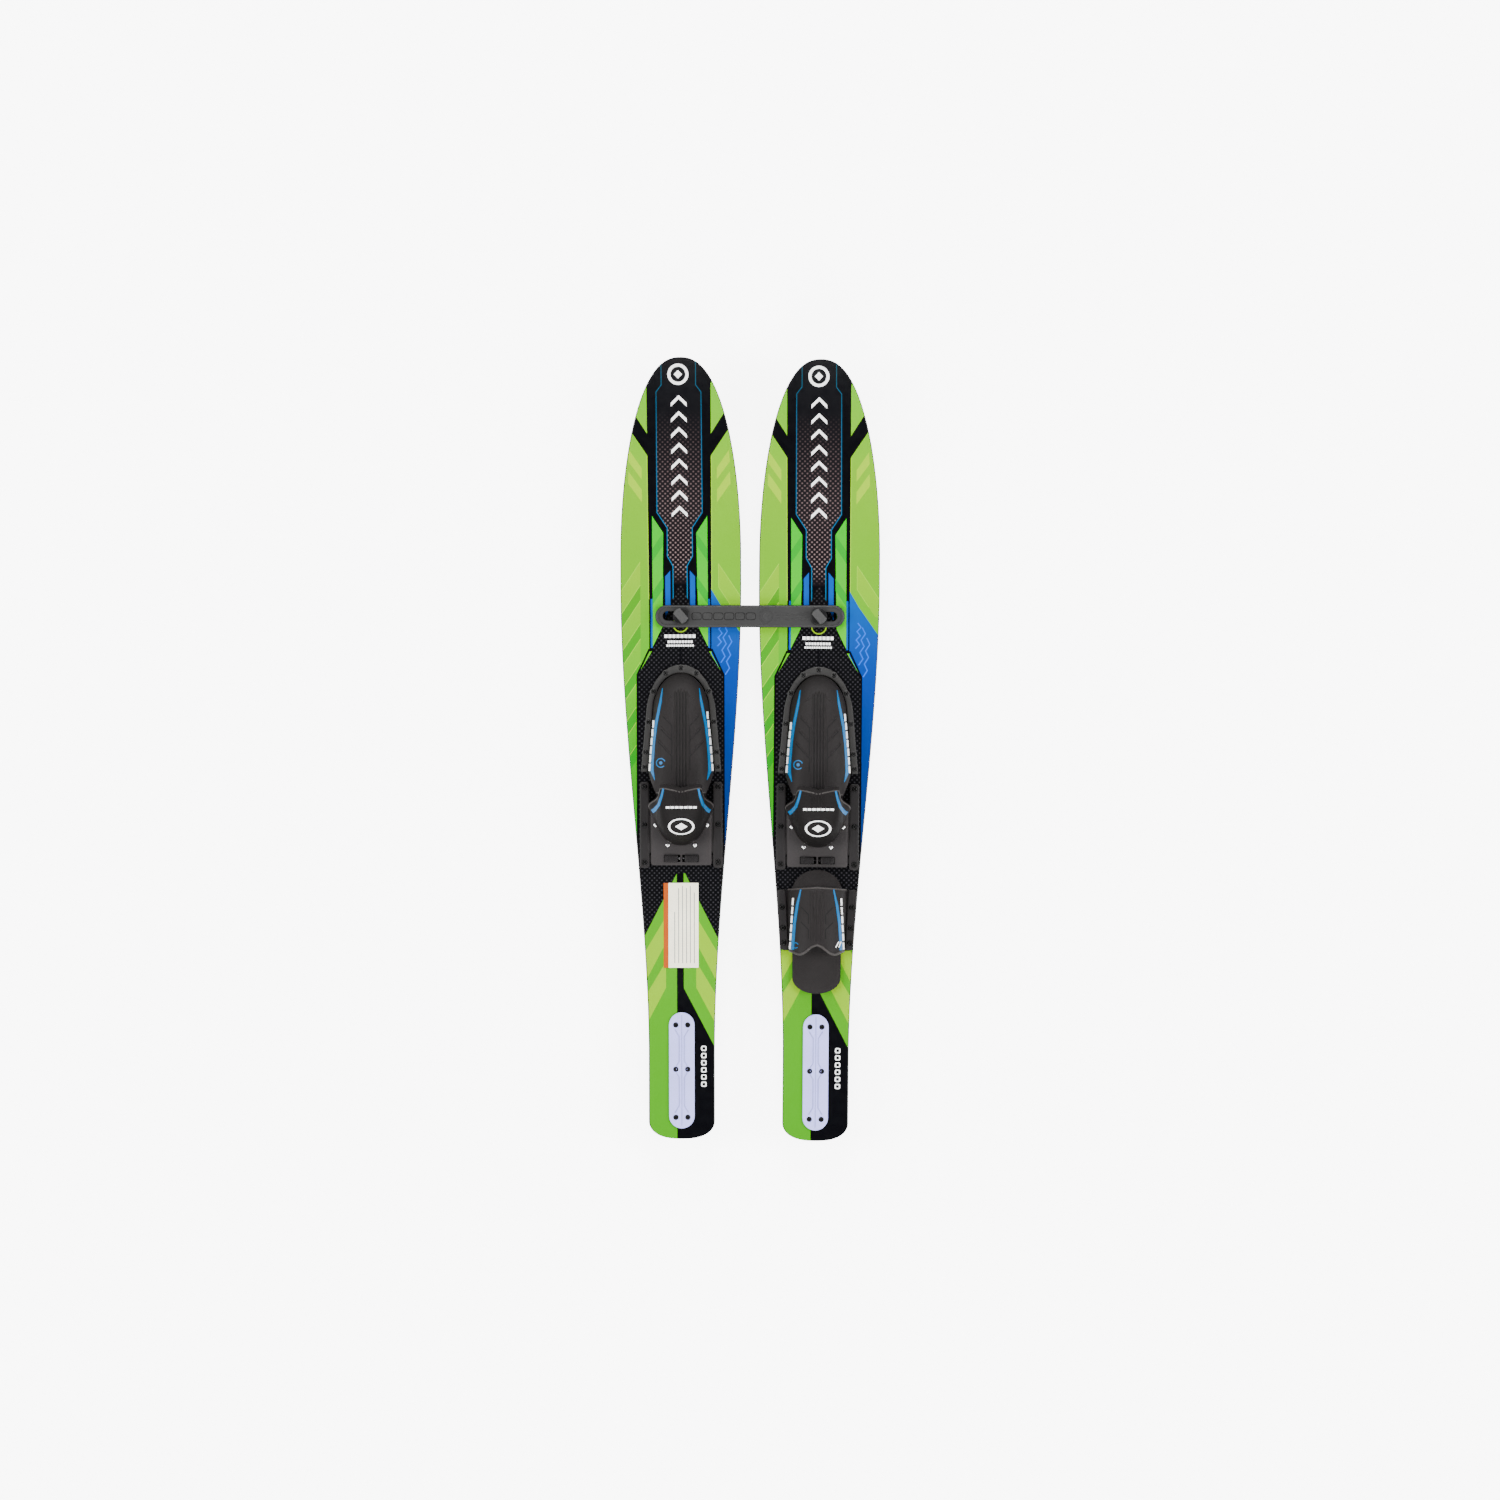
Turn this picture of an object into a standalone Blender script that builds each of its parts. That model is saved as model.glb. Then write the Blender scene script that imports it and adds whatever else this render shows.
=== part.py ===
"""Pair of combination water skis with adjustable rubber bindings and a moulded trainer bar.

Both skis lie deck up, tips towards +Y, with the running surfaces level. The fins point down and
touch Z = 0. Every ski is modelled in its own frame: x across, y towards the tip, z up, with the
origin on the deck at the axis of its trainer-bar knob. Lengths below are in millimetres and are
scaled to metres when a mesh is made.
"""
import math

import bmesh
import bpy
import numpy as np

MM = 0.001
GAP = 0.3  # standard clearance between pieces that lie against each other

# ---- driving dimensions -------------------------------------------------------------------
SKI_LENGTH = 1372.0
TIP_ZONE = 351.0  # length over which the tip reaches full width
TAPER_START, TAPER_END = 395.0, 1230.0
TAIL_ARC = 31.0
HALF_WIDTH, TAIL_HALF_WIDTH = 106.3, 58.0
TIP_FROM_KNOB = 453.0  # the tip lies this far ahead of the knob axis
DECK_Y_FRONT, DECK_Y_REAR = 60.0, -600.0  # the deck is flat and full thickness between these
THICK, TIP_THICK, TAIL_THICK = 22.0, 10.0, 14.0
TAIL_FLAT_Y = -690.0
TIP_RISE, RISE_START = 62.0, 100.0
TUNNEL_DEPTH = 2.5
EDGE = 2.5
FIN_DEPTH = 45.0
DECK_HEIGHT = FIN_DEPTH + THICK

KNOB_HALF_SPACING = 121.5
KNOB_Y = 235.4
LEFT_YAW, RIGHT_YAW = 0.12, -0.45  # degrees, positive turns the tip to the left
RIGHT_DROP = 1.2  # the right knob lies this much nearer the tails
RIGHT_SHIFT = -2.5  # and the right ski is mounted this much further back on its knob

BAR_LENGTH, BAR_WIDTH, BAR_THICK = 333.0, 39.0, 12.0
SLOT_OUTER, SLOT_INNER, SLOT_HALF = 153.4, 113.0, 8.5

RAIL_IN, RAIL_OUT, RAIL_TOP = 56.0, 72.6, 11.5
RAIL_FRONT, RAIL_REAR = -291.3, -442.4
RAIL_SCREW_X, RAIL_SCREW_Y = 64.5, (-299.7, -366.2, -432.4)
GROOVE_DEPTH, GROOVE_LOW, GROOVE_HIGH = 61.0, 2.6, 6.4

TOE_APEX, TOE_SIDE_END, TOE_TOP_END = -101.0, -272.0, -312.0
TOE_HEIGHT = 66.0
RUBBER = 4.0
FRAME_OUT_APEX, FRAME_IN_APEX, FRAME_REAR = -85.5, -99.6, -273.4
FRAME_LOW, FRAME_TOP = 2.1, 6.1

PLATE_HALF, PLATE_FRONT, PLATE_REAR, PLATE_TOP = 53.3, -328.0, -437.8, 9.0
LATCH_Y, LATCH_HALF = -425.75, 5.75
LATCH_IN, LATCH_OUT = 6.0, 29.0

STRAP_FRONT, STRAP_REAR, STRAP_BOW = -473.0, -588.0, 17.0
REAR_RAIL_LEAN = 0.056
FIN_FRONT, FIN_REAR, FIN_HALF = -696.5, -900.6, 22.5


# ---- small helpers ------------------------------------------------------------------------
def smoothstep(t):
    t = min(max(t, 0.0), 1.0)
    return t * t * (3 - 2 * t)


def ski_frame(side):
    """Location and yaw of a ski: side is -1 for the left ski and +1 for the right."""
    yaw = math.radians(LEFT_YAW if side < 0 else RIGHT_YAW)
    shift = RIGHT_SHIFT if side > 0 else 0.0
    x, y = knob_axis(side)
    return (x - shift * math.sin(yaw), y + shift * math.cos(yaw), DECK_HEIGHT), yaw


def knob_axis(side):
    return side * KNOB_HALF_SPACING, KNOB_Y - (RIGHT_DROP if side > 0 else 0.0)


def knob_frame(side):
    x, y = knob_axis(side)
    return (x, y, DECK_HEIGHT), math.radians(LEFT_YAW if side < 0 else RIGHT_YAW)


BAR_FRAME = ((0.0, KNOB_Y - RIGHT_DROP / 2, DECK_HEIGHT), 0.0)


def solid(name, verts, faces, frame, helper=False):
    """A mesh object from points in millimetres, with its faces turned outwards."""
    mesh = bpy.data.meshes.new(name)
    mesh.from_pydata([tuple(float(c) * MM for c in v) for v in verts], [], faces)
    bm = bmesh.new()
    bm.from_mesh(mesh)
    bmesh.ops.recalc_face_normals(bm, faces=bm.faces)
    bmesh.ops.triangulate(bm, faces=bm.faces)
    bm.to_mesh(mesh)
    bm.free()
    obj = bpy.data.objects.new(name, mesh)
    bpy.context.scene.collection.objects.link(obj)
    (x, y, z), yaw = frame
    obj.location = (x * MM, y * MM, z * MM)
    obj.rotation_euler = (0, 0, yaw)
    if helper:
        obj.hide_render = True
        obj.display_type = "WIRE"
    return obj


def lofted(rings, loop=False):
    """Faces through rings of equal point count: capped at both ends, or closed on themselves."""
    n, count = len(rings[0]), len(rings)
    verts = [p for ring in rings for p in ring]
    faces = []
    for k in range(count if loop else count - 1):
        a, b = k * n, (k + 1) % count * n
        faces += [[a + i, a + (i + 1) % n, b + (i + 1) % n, b + i] for i in range(n)]
    if not loop:
        faces += [list(range(n))[::-1], list(range((count - 1) * n, count * n))]
    return verts, faces


def join(pieces):
    verts, faces = [], []
    for v, f in pieces:
        faces += [[i + len(verts) for i in face] for face in f]
        verts += list(v)
    return verts, faces


def at(outline, z):
    return [(x, y, z) for x, y in outline]


def slab(outline, low, high):
    return lofted([at(outline, low), at(outline, high)])


def box(x0, x1, y0, y1, z0, z1):
    return slab([(x0, y0), (x1, y0), (x1, y1), (x0, y1)], z0, z1)


def circle(x, y, r, n):
    return [(x + r * math.cos(2 * math.pi * i / n), y + r * math.sin(2 * math.pi * i / n))
            for i in range(n)]


def stadium(x0, x1, y, r, n=10):
    """A bar with round ends along x, whose end arcs are centred on x0 and x1."""
    right = [(x1 + r * math.sin(math.pi * i / n), y - r * math.cos(math.pi * i / n))
             for i in range(n + 1)]
    left = [(x0 - r * math.sin(math.pi * i / n), y + r * math.cos(math.pi * i / n))
            for i in range(n + 1)]
    return right + left


def rounded(x0, x1, y0, y1, radii, n=4):
    """A rectangle with its corners rounded: radii for (x0,y0), (x1,y0), (x1,y1), (x0,y1)."""
    corners = ((x0, y0, 1, 1, 180), (x1, y0, -1, 1, 270), (x1, y1, -1, -1, 0), (x0, y1, 1, -1, 90))
    points = []
    for (x, y, dx, dy, start), r in zip(corners, radii):
        for i in range(n + 1):
            a = math.radians(start + 90 * i / n)
            points.append((x + dx * r + r * math.cos(a), y + dy * r + r * math.sin(a)))
    return points


def swap(outline):
    return [(y, x) for x, y in outline]


def lathe(profile, n):
    """A solid of revolution about z from (radius, z) points that start and end on the axis."""
    verts = [(0, 0, profile[0][1])]
    for r, z in profile[1:-1]:
        verts += at(circle(0, 0, r, n), z)
    verts.append((0, 0, profile[-1][1]))
    faces, last = [], len(verts) - 1
    for i in range(n):
        j = (i + 1) % n
        faces.append([0, 1 + j, 1 + i])
        for k in range(len(profile) - 3):
            a, b = 1 + k * n, 1 + (k + 1) * n
            faces.append([a + i, a + j, b + j, b + i])
        faces.append([last, last - n + i, last - n + j])
    return verts, faces


def tube(r_out, r_in, low, high, n):
    rings = [at(circle(0, 0, r, n), z)
             for r, z in ((r_out, low), (r_out, high), (r_in, high), (r_in, low))]
    return lofted(rings, loop=True)


def moved(piece, x, y):
    verts, faces = piece
    return [(px + x, py + y, pz) for px, py, pz in verts], faces


def combine(obj, piece, frame, operation):
    tool = solid(f"{obj.name}.{operation.lower()}", *piece, frame, helper=True)
    mod = obj.modifiers.new(operation.title(), "BOOLEAN")
    mod.operation, mod.solver, mod.object = operation, "EXACT", tool


def spline(points, t):
    """A smooth curve through points, with t from 0 to 1 over the whole run."""
    p = np.array(points, float)
    p = np.vstack([2 * p[0] - p[1], p, 2 * p[-1] - p[-2]])
    s = min(max(t, 0.0), 1.0) * (len(points) - 1)
    k = min(int(s), len(points) - 2)
    s -= k
    a, b, c, d = p[k:k + 4]
    return 0.5 * (2 * b + (c - a) * s + (2 * a - 5 * b + 4 * c - d) * s * s
                  + (3 * b - a - 3 * c + d) * s ** 3)


# ---- ski board ----------------------------------------------------------------------------
def ski_half_width(y):
    d = TIP_FROM_KNOB - y
    if d < TIP_ZONE:
        return HALF_WIDTH * max(1 - ((TIP_ZONE - d) / TIP_ZONE) ** 2, 0) ** 0.4255
    taper = smoothstep((d - TAPER_START) / (TAPER_END - TAPER_START))
    w = HALF_WIDTH - (HALF_WIDTH - TAIL_HALF_WIDTH) * taper
    over = d - (SKI_LENGTH - TAIL_ARC)
    return w * max(1 - (over / TAIL_ARC) ** 2, 0) ** 0.38 if over > 0 else w


def ski_base(y):
    s = max(y - RISE_START, 0) / (TIP_FROM_KNOB - RISE_START)
    return -THICK + TIP_RISE * s * s


def ski_thickness(y):
    if y > DECK_Y_FRONT:
        s = smoothstep((y - DECK_Y_FRONT) / (TIP_FROM_KNOB - DECK_Y_FRONT))
        return THICK + (TIP_THICK - THICK) * s
    s = smoothstep((DECK_Y_REAR - y) / (DECK_Y_REAR - TAIL_FLAT_Y))
    return THICK + (TAIL_THICK - THICK) * s


def ski_section(y):
    w, low = ski_half_width(y), ski_base(y)
    top = low + ski_thickness(y)
    e = min(EDGE, 0.2 * w)
    tail = TIP_FROM_KNOB - SKI_LENGTH
    c = TUNNEL_DEPTH * smoothstep((60 - y) / 120) * smoothstep((y - tail - 20) / 120)
    half = [(0.0, low + c), (0.34 * w, low + c), (0.55 * w, low), (w - 1.6 * e, low),
            (w, low + e), (w, top - e), (w - e, top), (0.5 * w, top)]
    left = [(-x, z) for x, z in half[:0:-1]]
    return [(x, y, z) for x, z in half + [(0.0, top)] + left]


def ski_stations():
    tip = [TIP_ZONE * (1 - math.cos(math.radians(a))) for a in np.linspace(2.4, 90, 17)]
    arc = [SKI_LENGTH - TAIL_ARC * (1 - math.sin(math.radians(a)))
           for a in np.linspace(0, 86, 7)]
    body = list(np.linspace(TIP_ZONE, SKI_LENGTH - TAIL_ARC, 22)[1:-1])
    fixed = [TIP_FROM_KNOB - y for y in (DECK_Y_FRONT, DECK_Y_REAR, TAIL_FLAT_Y)]
    body = [d for d in body if min(abs(d - f) for f in fixed) > 12] + fixed
    return [TIP_FROM_KNOB - d for d in sorted(tip + body + arc)]


def build_ski(side, label):
    frame = ski_frame(side)
    board = solid(f"{label}_ski_board", *lofted([ski_section(y) for y in ski_stations()]), frame)
    holes = [moved(slab(circle(0, 0, 2.5, 10), -15, 6), s * RAIL_SCREW_X, y)
             for s in (-1, 1) for y in RAIL_SCREW_Y]
    if side > 0:
        holes += [moved(slab(circle(0, 0, 2.5, 10), -15, 6), s * x, y)
                  for s in (-1, 1) for x, y in rear_screws()]
    holes.append(box(-4.6, 4.6, FIN_REAR + 7, FIN_FRONT - 14.9, -THICK - 6, 6))
    combine(board, join(holes), frame, "DIFFERENCE")
    socket = solid(f"{label}_ski_board.socket", *slab(circle(0, 0, 9.4, 20), -15, 6),
                   knob_frame(side), helper=True)
    mod = board.modifiers.new("Socket", "BOOLEAN")
    mod.operation, mod.solver, mod.object = "DIFFERENCE", "EXACT", socket


# ---- front toe binding --------------------------------------------------------------------
def nose_width(d, full, length, flare):
    """Half-width of a rounded nose, d behind its apex, that then flares slowly."""
    if d <= 0:
        return 0.0
    return full * (1 - max(1 - d / length, 0) ** 2) ** 0.468 + flare * d


def nose_outline(apex, end, full, length, flare, n=9):
    """Right half of a nose in plan, from the apex back to the end."""
    depth = apex - end
    ds = [length * (1 - math.cos(math.pi / 2 * i / n)) for i in range(1, n + 1)]
    ds = [d for d in ds if d < depth] + list(np.linspace(length, depth, 5)[1:])
    return [(nose_width(d, full, length, flare), apex - d) for d in ds]


def horseshoe(outer, inner, end):
    """Outline of a horseshoe from (apex, full, length, flare) of its outer and inner edges."""
    out = nose_outline(outer[0], end, *outer[1:])
    inn = nose_outline(inner[0], end, *inner[1:])
    ring = [(0, outer[0])] + out + inn[::-1] + [(0, inner[0])]
    ring += [(-x, y) for x, y in inn] + [(-x, y) for x, y in out[::-1]]
    return ring


FRAME_OUTER = (FRAME_OUT_APEX, 53.7, 80.0, 0.09)
FRAME_INNER = (FRAME_IN_APEX, 45.1, 60.0, 0.08)


def build_toe_frame(frame, label):
    small = (FRAME_OUT_APEX - 1.2, 52.7, 80.0, 0.09)
    wide = (FRAME_IN_APEX + 1.2, 46.1, 60.0, 0.08)
    rings = [at(horseshoe(FRAME_OUTER, FRAME_INNER, FRAME_REAR), z)
             for z in (FRAME_LOW, FRAME_TOP - 1.2)]
    rings.append(at(horseshoe(small, wide, FRAME_REAR + 1), FRAME_TOP))
    solid(f"{label}_toe_frame", *lofted(rings), frame)


def hood_point(e, phi, inset):
    """Point on the toe hood, e behind its apex, phi from the crown, inset from the outside."""
    w = nose_width(e, 43.8, 60.0, 0.08) - inset
    h = TOE_HEIGHT * math.sqrt(max(1 - max(1 - e / 210, 0) ** 2, 0)) - inset
    s, c = math.sin(phi), math.cos(phi)
    n = 2 / 3.0
    return (math.copysign(w * abs(s) ** n, s), TOE_APEX - e, GAP + h * max(c, 0) ** n)


def hood_limit(e):
    """How far round the hood reaches: to the deck along the frame, less over the instep."""
    side, top = TOE_APEX - TOE_SIDE_END, TOE_APEX - TOE_TOP_END
    if e <= side:
        return math.radians(90)
    return math.radians(90 - 52 * ((e - side) / (top - side)) ** 0.6)


def hood_surface(inset, first, n_round=14):
    depth, side = TOE_APEX - TOE_TOP_END, TOE_APEX - TOE_SIDE_END
    nose = [first + (70 - first) * (1 - math.cos(math.pi / 2 * i / 7)) for i in range(8)]
    stations = nose + list(np.linspace(70, side, 5)[1:]) + [
        side + (depth - side) * t for t in (0.1, 0.3, 0.6, 1.0)]
    grid = []
    for e in stations:
        m = hood_limit(e)
        grid.append([hood_point(e, m * (2 * j / n_round - 1), inset)
                     for j in range(n_round + 1)])
    return grid


def shell(outer, inner, closed_front=True):
    """Close two matching grids into one shell, with flat walls at the front if it is closed."""
    rows, cols = len(outer), len(outer[0])
    verts = [p for row in outer for p in row] + [p for row in inner for p in row]
    shift, faces = rows * cols, []
    for i in range(rows - 1):
        for j in range(cols - 1):
            a, b = i * cols + j, (i + 1) * cols + j
            faces += [[a, a + 1, b + 1, b], [a + shift, b + shift, b + 1 + shift, a + 1 + shift]]
        for j in (0, cols - 1):
            a, b = i * cols + j, (i + 1) * cols + j
            faces.append([a, b, b + shift, a + shift])
    for i in (rows - 1,) if closed_front else (0, rows - 1):
        for j in range(cols - 1):
            a = i * cols + j
            faces.append([a, a + 1, a + 1 + shift, a + shift])
    if closed_front:
        faces += [list(range(cols)), list(range(shift, shift + cols)),
                  [0, cols - 1, shift + cols - 1, shift]]
    return verts, faces


def build_toe_piece(frame, label):
    hood = solid(f"{label}_toe_piece", *shell(hood_surface(0, 0.4), hood_surface(RUBBER, 4.6)),
                 frame)
    flange = horseshoe((FRAME_OUT_APEX - 3, 50.5, 77.0, 0.09), (TOE_APEX - 2.5, 41.6, 58.0, 0.08),
                       TOE_SIDE_END + 1)
    combine(hood, slab(flange, GAP, FRAME_LOW - GAP), frame, "UNION")


def build_toe_pad(frame, label):
    half = nose_outline(-118.0, -292.0, 35.0, 40.0, 0.03, 6)
    ring = [(0, -118.0)] + half + [(-x, y) for x, y in half[::-1]]
    inset = [(0.96 * x, -205 + 0.985 * (y + 205)) for x, y in ring]
    solid(f"{label}_toe_footbed", *lofted([at(ring, GAP), at(ring, 6.5), at(inset, 7.5)]), frame)


# ---- rails and screws ---------------------------------------------------------------------
def build_rail(frame, name, side):
    """One slide rail. Its inner face holds the groove that the heel plate's tongue runs in."""
    x0, x1 = sorted((side * RAIL_IN, side * RAIL_OUT))
    plan = rounded(x0, x1, RAIL_REAR, RAIL_FRONT, (7, 7, 1.5, 1.5))
    top = rounded(x0 + 1.2, x1 - 1.2, RAIL_REAR + 1.2, RAIL_FRONT - 1.2, (6, 6, 1, 1))
    rail = solid(name, *lofted([at(plan, GAP), at(plan, RAIL_TOP - 1.2), at(top, RAIL_TOP)]),
                 frame)
    g0, g1 = sorted((side * (RAIL_IN - 4), side * GROOVE_DEPTH))
    cuts = [box(g0, g1, RAIL_REAR - 4, RAIL_FRONT + 4, GROOVE_LOW, GROOVE_HIGH)]
    for y in RAIL_SCREW_Y:
        cuts.append(moved(screw_hole(RAIL_TOP), side * RAIL_SCREW_X, y))
    combine(rail, join(cuts), frame, "DIFFERENCE")


def screw_hole(top):
    """Clearance for a screw through a rail, with a counterbore for its head."""
    return lathe([(0, -2), (2.8, -2), (2.8, top - 2.6), (5.0, top - 2.6), (5.0, top + 2),
                  (0, top + 2)], 10)


def screw(top):
    """Machine screw: flat head with a round recess, shank down into the ski."""
    seat = top - 2.3
    return lathe([(0, -14), (2.2, -13), (2.2, seat), (4.5, seat), (4.5, top), (1.8, top),
                  (1.8, top - 1.1), (0, top - 1.1)], 10)


def build_screw(frame, name, x, y, top):
    solid(name, *moved(screw(top), x, y), frame)


# ---- heel carriage ------------------------------------------------------------------------
def build_heel_plate(frame, label):
    plan = rounded(-PLATE_HALF, PLATE_HALF, PLATE_REAR, PLATE_FRONT, (4, 4, 6, 6))
    top = rounded(-PLATE_HALF + 1, PLATE_HALF - 1, PLATE_REAR + 1, PLATE_FRONT - 1, (3, 3, 5, 5))
    plate = solid(f"{label}_heel_plate",
                  *lofted([at(plan, 0.5), at(plan, PLATE_TOP - 1), at(top, PLATE_TOP)]), frame)
    tongues = box(-PLATE_HALF - 7, PLATE_HALF + 7, LATCH_Y + 10, PLATE_FRONT - 7, 3.0, 6.0)
    combine(plate, tongues, frame, "UNION")
    low, high = LATCH_Y - LATCH_HALF - 0.8, LATCH_Y + LATCH_HALF + 0.8
    cuts = [box(-PLATE_HALF - 9, PLATE_HALF + 9, low, high, -1, 6.3)]
    cuts += [box(*sorted((s * 1.5, s * (LATCH_OUT + 1.5))), low, high, 5.5, PLATE_TOP + 2)
             for s in (-1, 1)]
    for piece in cuts:
        combine(plate, piece, frame, "DIFFERENCE")


def build_latch(frame, name, side):
    """Push button with an arm whose tip runs in the rail's groove."""
    profile = [(LATCH_IN, 1.5), (54.8, 1.5), (54.8, 3.0), (60.4, 3.0), (60.4, 5.7),
               (LATCH_OUT, 5.7), (LATCH_OUT, 10.8), (LATCH_OUT - 1.2, 12), (LATCH_IN + 1.2, 12),
               (LATCH_IN, 10.8)]
    rings = [[(side * x, y, z) for x, z in profile]
             for y in (LATCH_Y - LATCH_HALF, LATCH_Y + LATCH_HALF)]
    solid(name, *lofted(rings), frame)


def build_spring(frame, label):
    """Compression spring between the two latch arms, along x."""
    length, radius, wire, turns, steps = 11.2, 1.5, 0.28, 4, 8
    rings = []
    for i in range(turns * steps + 1):
        t = i / (turns * steps)
        a = 2 * math.pi * turns * t
        x = -length / 2 + wire + (length - 2 * wire) * t
        ring = []
        for k in range(5):
            b = 2 * math.pi * k / 5
            r = radius + wire * math.cos(b)
            ring.append((x + wire * math.sin(b), LATCH_Y + r * math.cos(a), 3.6 + r * math.sin(a)))
        rings.append(ring)
    solid(f"{label}_latch_spring", *lofted(rings), frame)


# The heel cup is a curved sheet: every point along it runs from the base up to the free edge.
CUP_EDGE = [(0, -301.6, 98), (32, -295, 95), (37.5, -303, 86), (41.5, -317, 70),
            (57, -331, 48), (48.5, -350, 24)]
CUP_BULGE = [(0, -400, 86), (30, -394, 84), (46, -378, 72), (50, -366, 56),
             (52, -357, 34), (45, -352, 17)]


def cup_base(s):
    if s < 0.8:
        a = s / 0.8 * math.pi / 2
        return np.array([38.5 * math.sin(a), -368 - 35 * math.cos(a), PLATE_TOP + GAP])
    return np.array([38.5 + 1.5 * (s - 0.8) / 0.2, -368 + 16 * (s - 0.8) / 0.2, PLATE_TOP + GAP])


def cup_point(s, v):
    """Point on the outside of the heel cup: s from -1 to 1 round it, v from the base up."""
    sign, s = (1 if s >= 0 else -1), abs(s)
    a, b, c = cup_base(s), spline(CUP_BULGE, s), spline(CUP_EDGE, s)
    p = (1 - v) ** 2 * a + 2 * v * (1 - v) * b + v * v * c
    return np.array([sign * p[0], p[1], p[2]])


def thicken(grid, depth, floor):
    """A second grid at a depth below the first, kept above a floor height."""
    g = np.array(grid)
    du, dv = np.gradient(g, axis=0), np.gradient(g, axis=1)
    n = np.cross(du, dv)
    n /= np.linalg.norm(n, axis=2, keepdims=True)
    inner = g + n * depth
    inner[..., 2] = np.maximum(inner[..., 2], floor)
    return inner.tolist()


def build_heel_piece(frame, label, n_round=24, n_up=8):
    grid = [[tuple(cup_point(2 * i / n_round - 1, j / n_up)) for j in range(n_up + 1)]
            for i in range(n_round + 1)]
    inner = thicken(grid, -RUBBER, PLATE_TOP + GAP)
    solid(f"{label}_heel_piece", *shell(grid, inner, closed_front=False), frame)


def build_heel_pad(frame, label):
    half = [(38, -300), (44, -306), (44, -333), (33, -352), (32, -368)]
    half += [(32 * math.cos(math.radians(a)), -368 - 28 * math.sin(math.radians(a)))
             for a in (20, 40, 60, 80)]
    ring = half + [(-x, y) for x, y in half[::-1]]
    solid(f"{label}_heel_footbed", *slab(ring, PLATE_TOP + GAP, PLATE_TOP + 4.3), frame)


# ---- fin ----------------------------------------------------------------------------------
def build_fin(frame, label):
    """Drop-through fin: a plate on the deck, a spine, and a blade that passes through the ski."""
    deck = -THICK + TAIL_THICK
    r = FIN_HALF
    plan = swap(stadium(FIN_REAR + r, FIN_FRONT - r, 0, r))
    top = swap(stadium(FIN_REAR + r, FIN_FRONT - r, 0, r - 1.5))
    fin = solid(f"{label}_fin", *lofted([at(plan, deck + GAP), at(plan, deck + 2.4),
                                         at(top, deck + 3.8)]), frame)
    combine(fin, box(-4.5, 4.5, FIN_REAR + 18, FIN_FRONT - 18, deck + 2, deck + 4.6), frame,
            "UNION")
    front, rear = FIN_FRONT - 15.5, FIN_REAR + 7.6
    side = [(front, deck + 2), (front, -THICK), (front - 34, -52), (front - 62, -64),
            (front - 78, -DECK_HEIGHT), (rear + 20, -DECK_HEIGHT), (rear + 8, -60),
            (rear, -THICK - 6), (rear, deck + 2)]
    mid_y, mid_z = (front + rear) / 2, -30
    thin = [(mid_y + 0.95 * (y - mid_y), max(mid_z + 0.92 * (z - mid_z), -62)) for y, z in side]
    thin = [(y, min(z, deck + 1.2)) for y, z in thin]
    rings = [[(x, y, z) for y, z in ring]
             for x, ring in ((-4, thin), (-2.2, side), (2.2, side), (4, thin))]
    combine(fin, lofted(rings), frame, "UNION")


# ---- rear toe binding, right ski only -----------------------------------------------------
def rear_screws():
    return [(61.1 - REAR_RAIL_LEAN * (-507.8 - y), y) for y in (-507.8, -544.3, -570.3)]


def rear_rail_x(y):
    return 61.1 - REAR_RAIL_LEAN * (-507.8 - y)


def build_rear_rail(frame, name, side):
    half, low, high = 7.4, FRAME_LOW, 10.0
    ends = ((-477.0, 1.5), (-583.0, 6.5))

    def plan(cut):
        points = []
        for x, y in rounded(-half + cut, half - cut, ends[1][0] + cut, ends[0][0] - cut,
                            (6.0, 6.0, 1.5, 1.5)):
            points.append((side * (rear_rail_x(y) + x), y))
        return points

    rail = solid(name, *lofted([at(plan(0), low), at(plan(0), high - 1), at(plan(1), high)]),
                 frame)
    cuts = [moved(screw_hole(high), side * x, y) for x, y in rear_screws()]
    combine(rail, join(cuts), frame, "DIFFERENCE")


def strap_section(t, n=16):
    """Closed section of the rear toe strap, t from its front edge to its rear edge."""
    ground = 52.5 - 4.0 * t
    height = 48 + 20 * math.sin(t * math.pi / 2)
    power = 2 / (2.2 + 1.0 * t)
    wall, foot, low = 3.5, 13.0, GAP

    def arch(w, h, z0):
        points = []
        for k in range(n + 1):
            phi = math.radians(90 - 180 * k / n)
            s, c = math.sin(phi), max(math.cos(phi), 0.0)
            y = (1 - t) * (STRAP_FRONT - 4 * abs(s)) + t * (STRAP_REAR + STRAP_BOW * c)
            points.append((math.copysign(w * abs(s) ** power, s), y, z0 + h * c ** power))
        return points

    front, rear = STRAP_FRONT - 4, STRAP_REAR
    y = (1 - t) * front + t * rear
    outer = arch(ground, height, FRAME_LOW - GAP)
    inner = arch(ground - wall, height - wall + 1.5, low)
    ring = [(ground + foot - 3, y, low), (ground + foot - 3, y, FRAME_LOW - GAP)] + outer
    ring += [(-ground - foot + 3, y, FRAME_LOW - GAP), (-ground - foot + 3, y, low)]
    return ring + inner[::-1]


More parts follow.
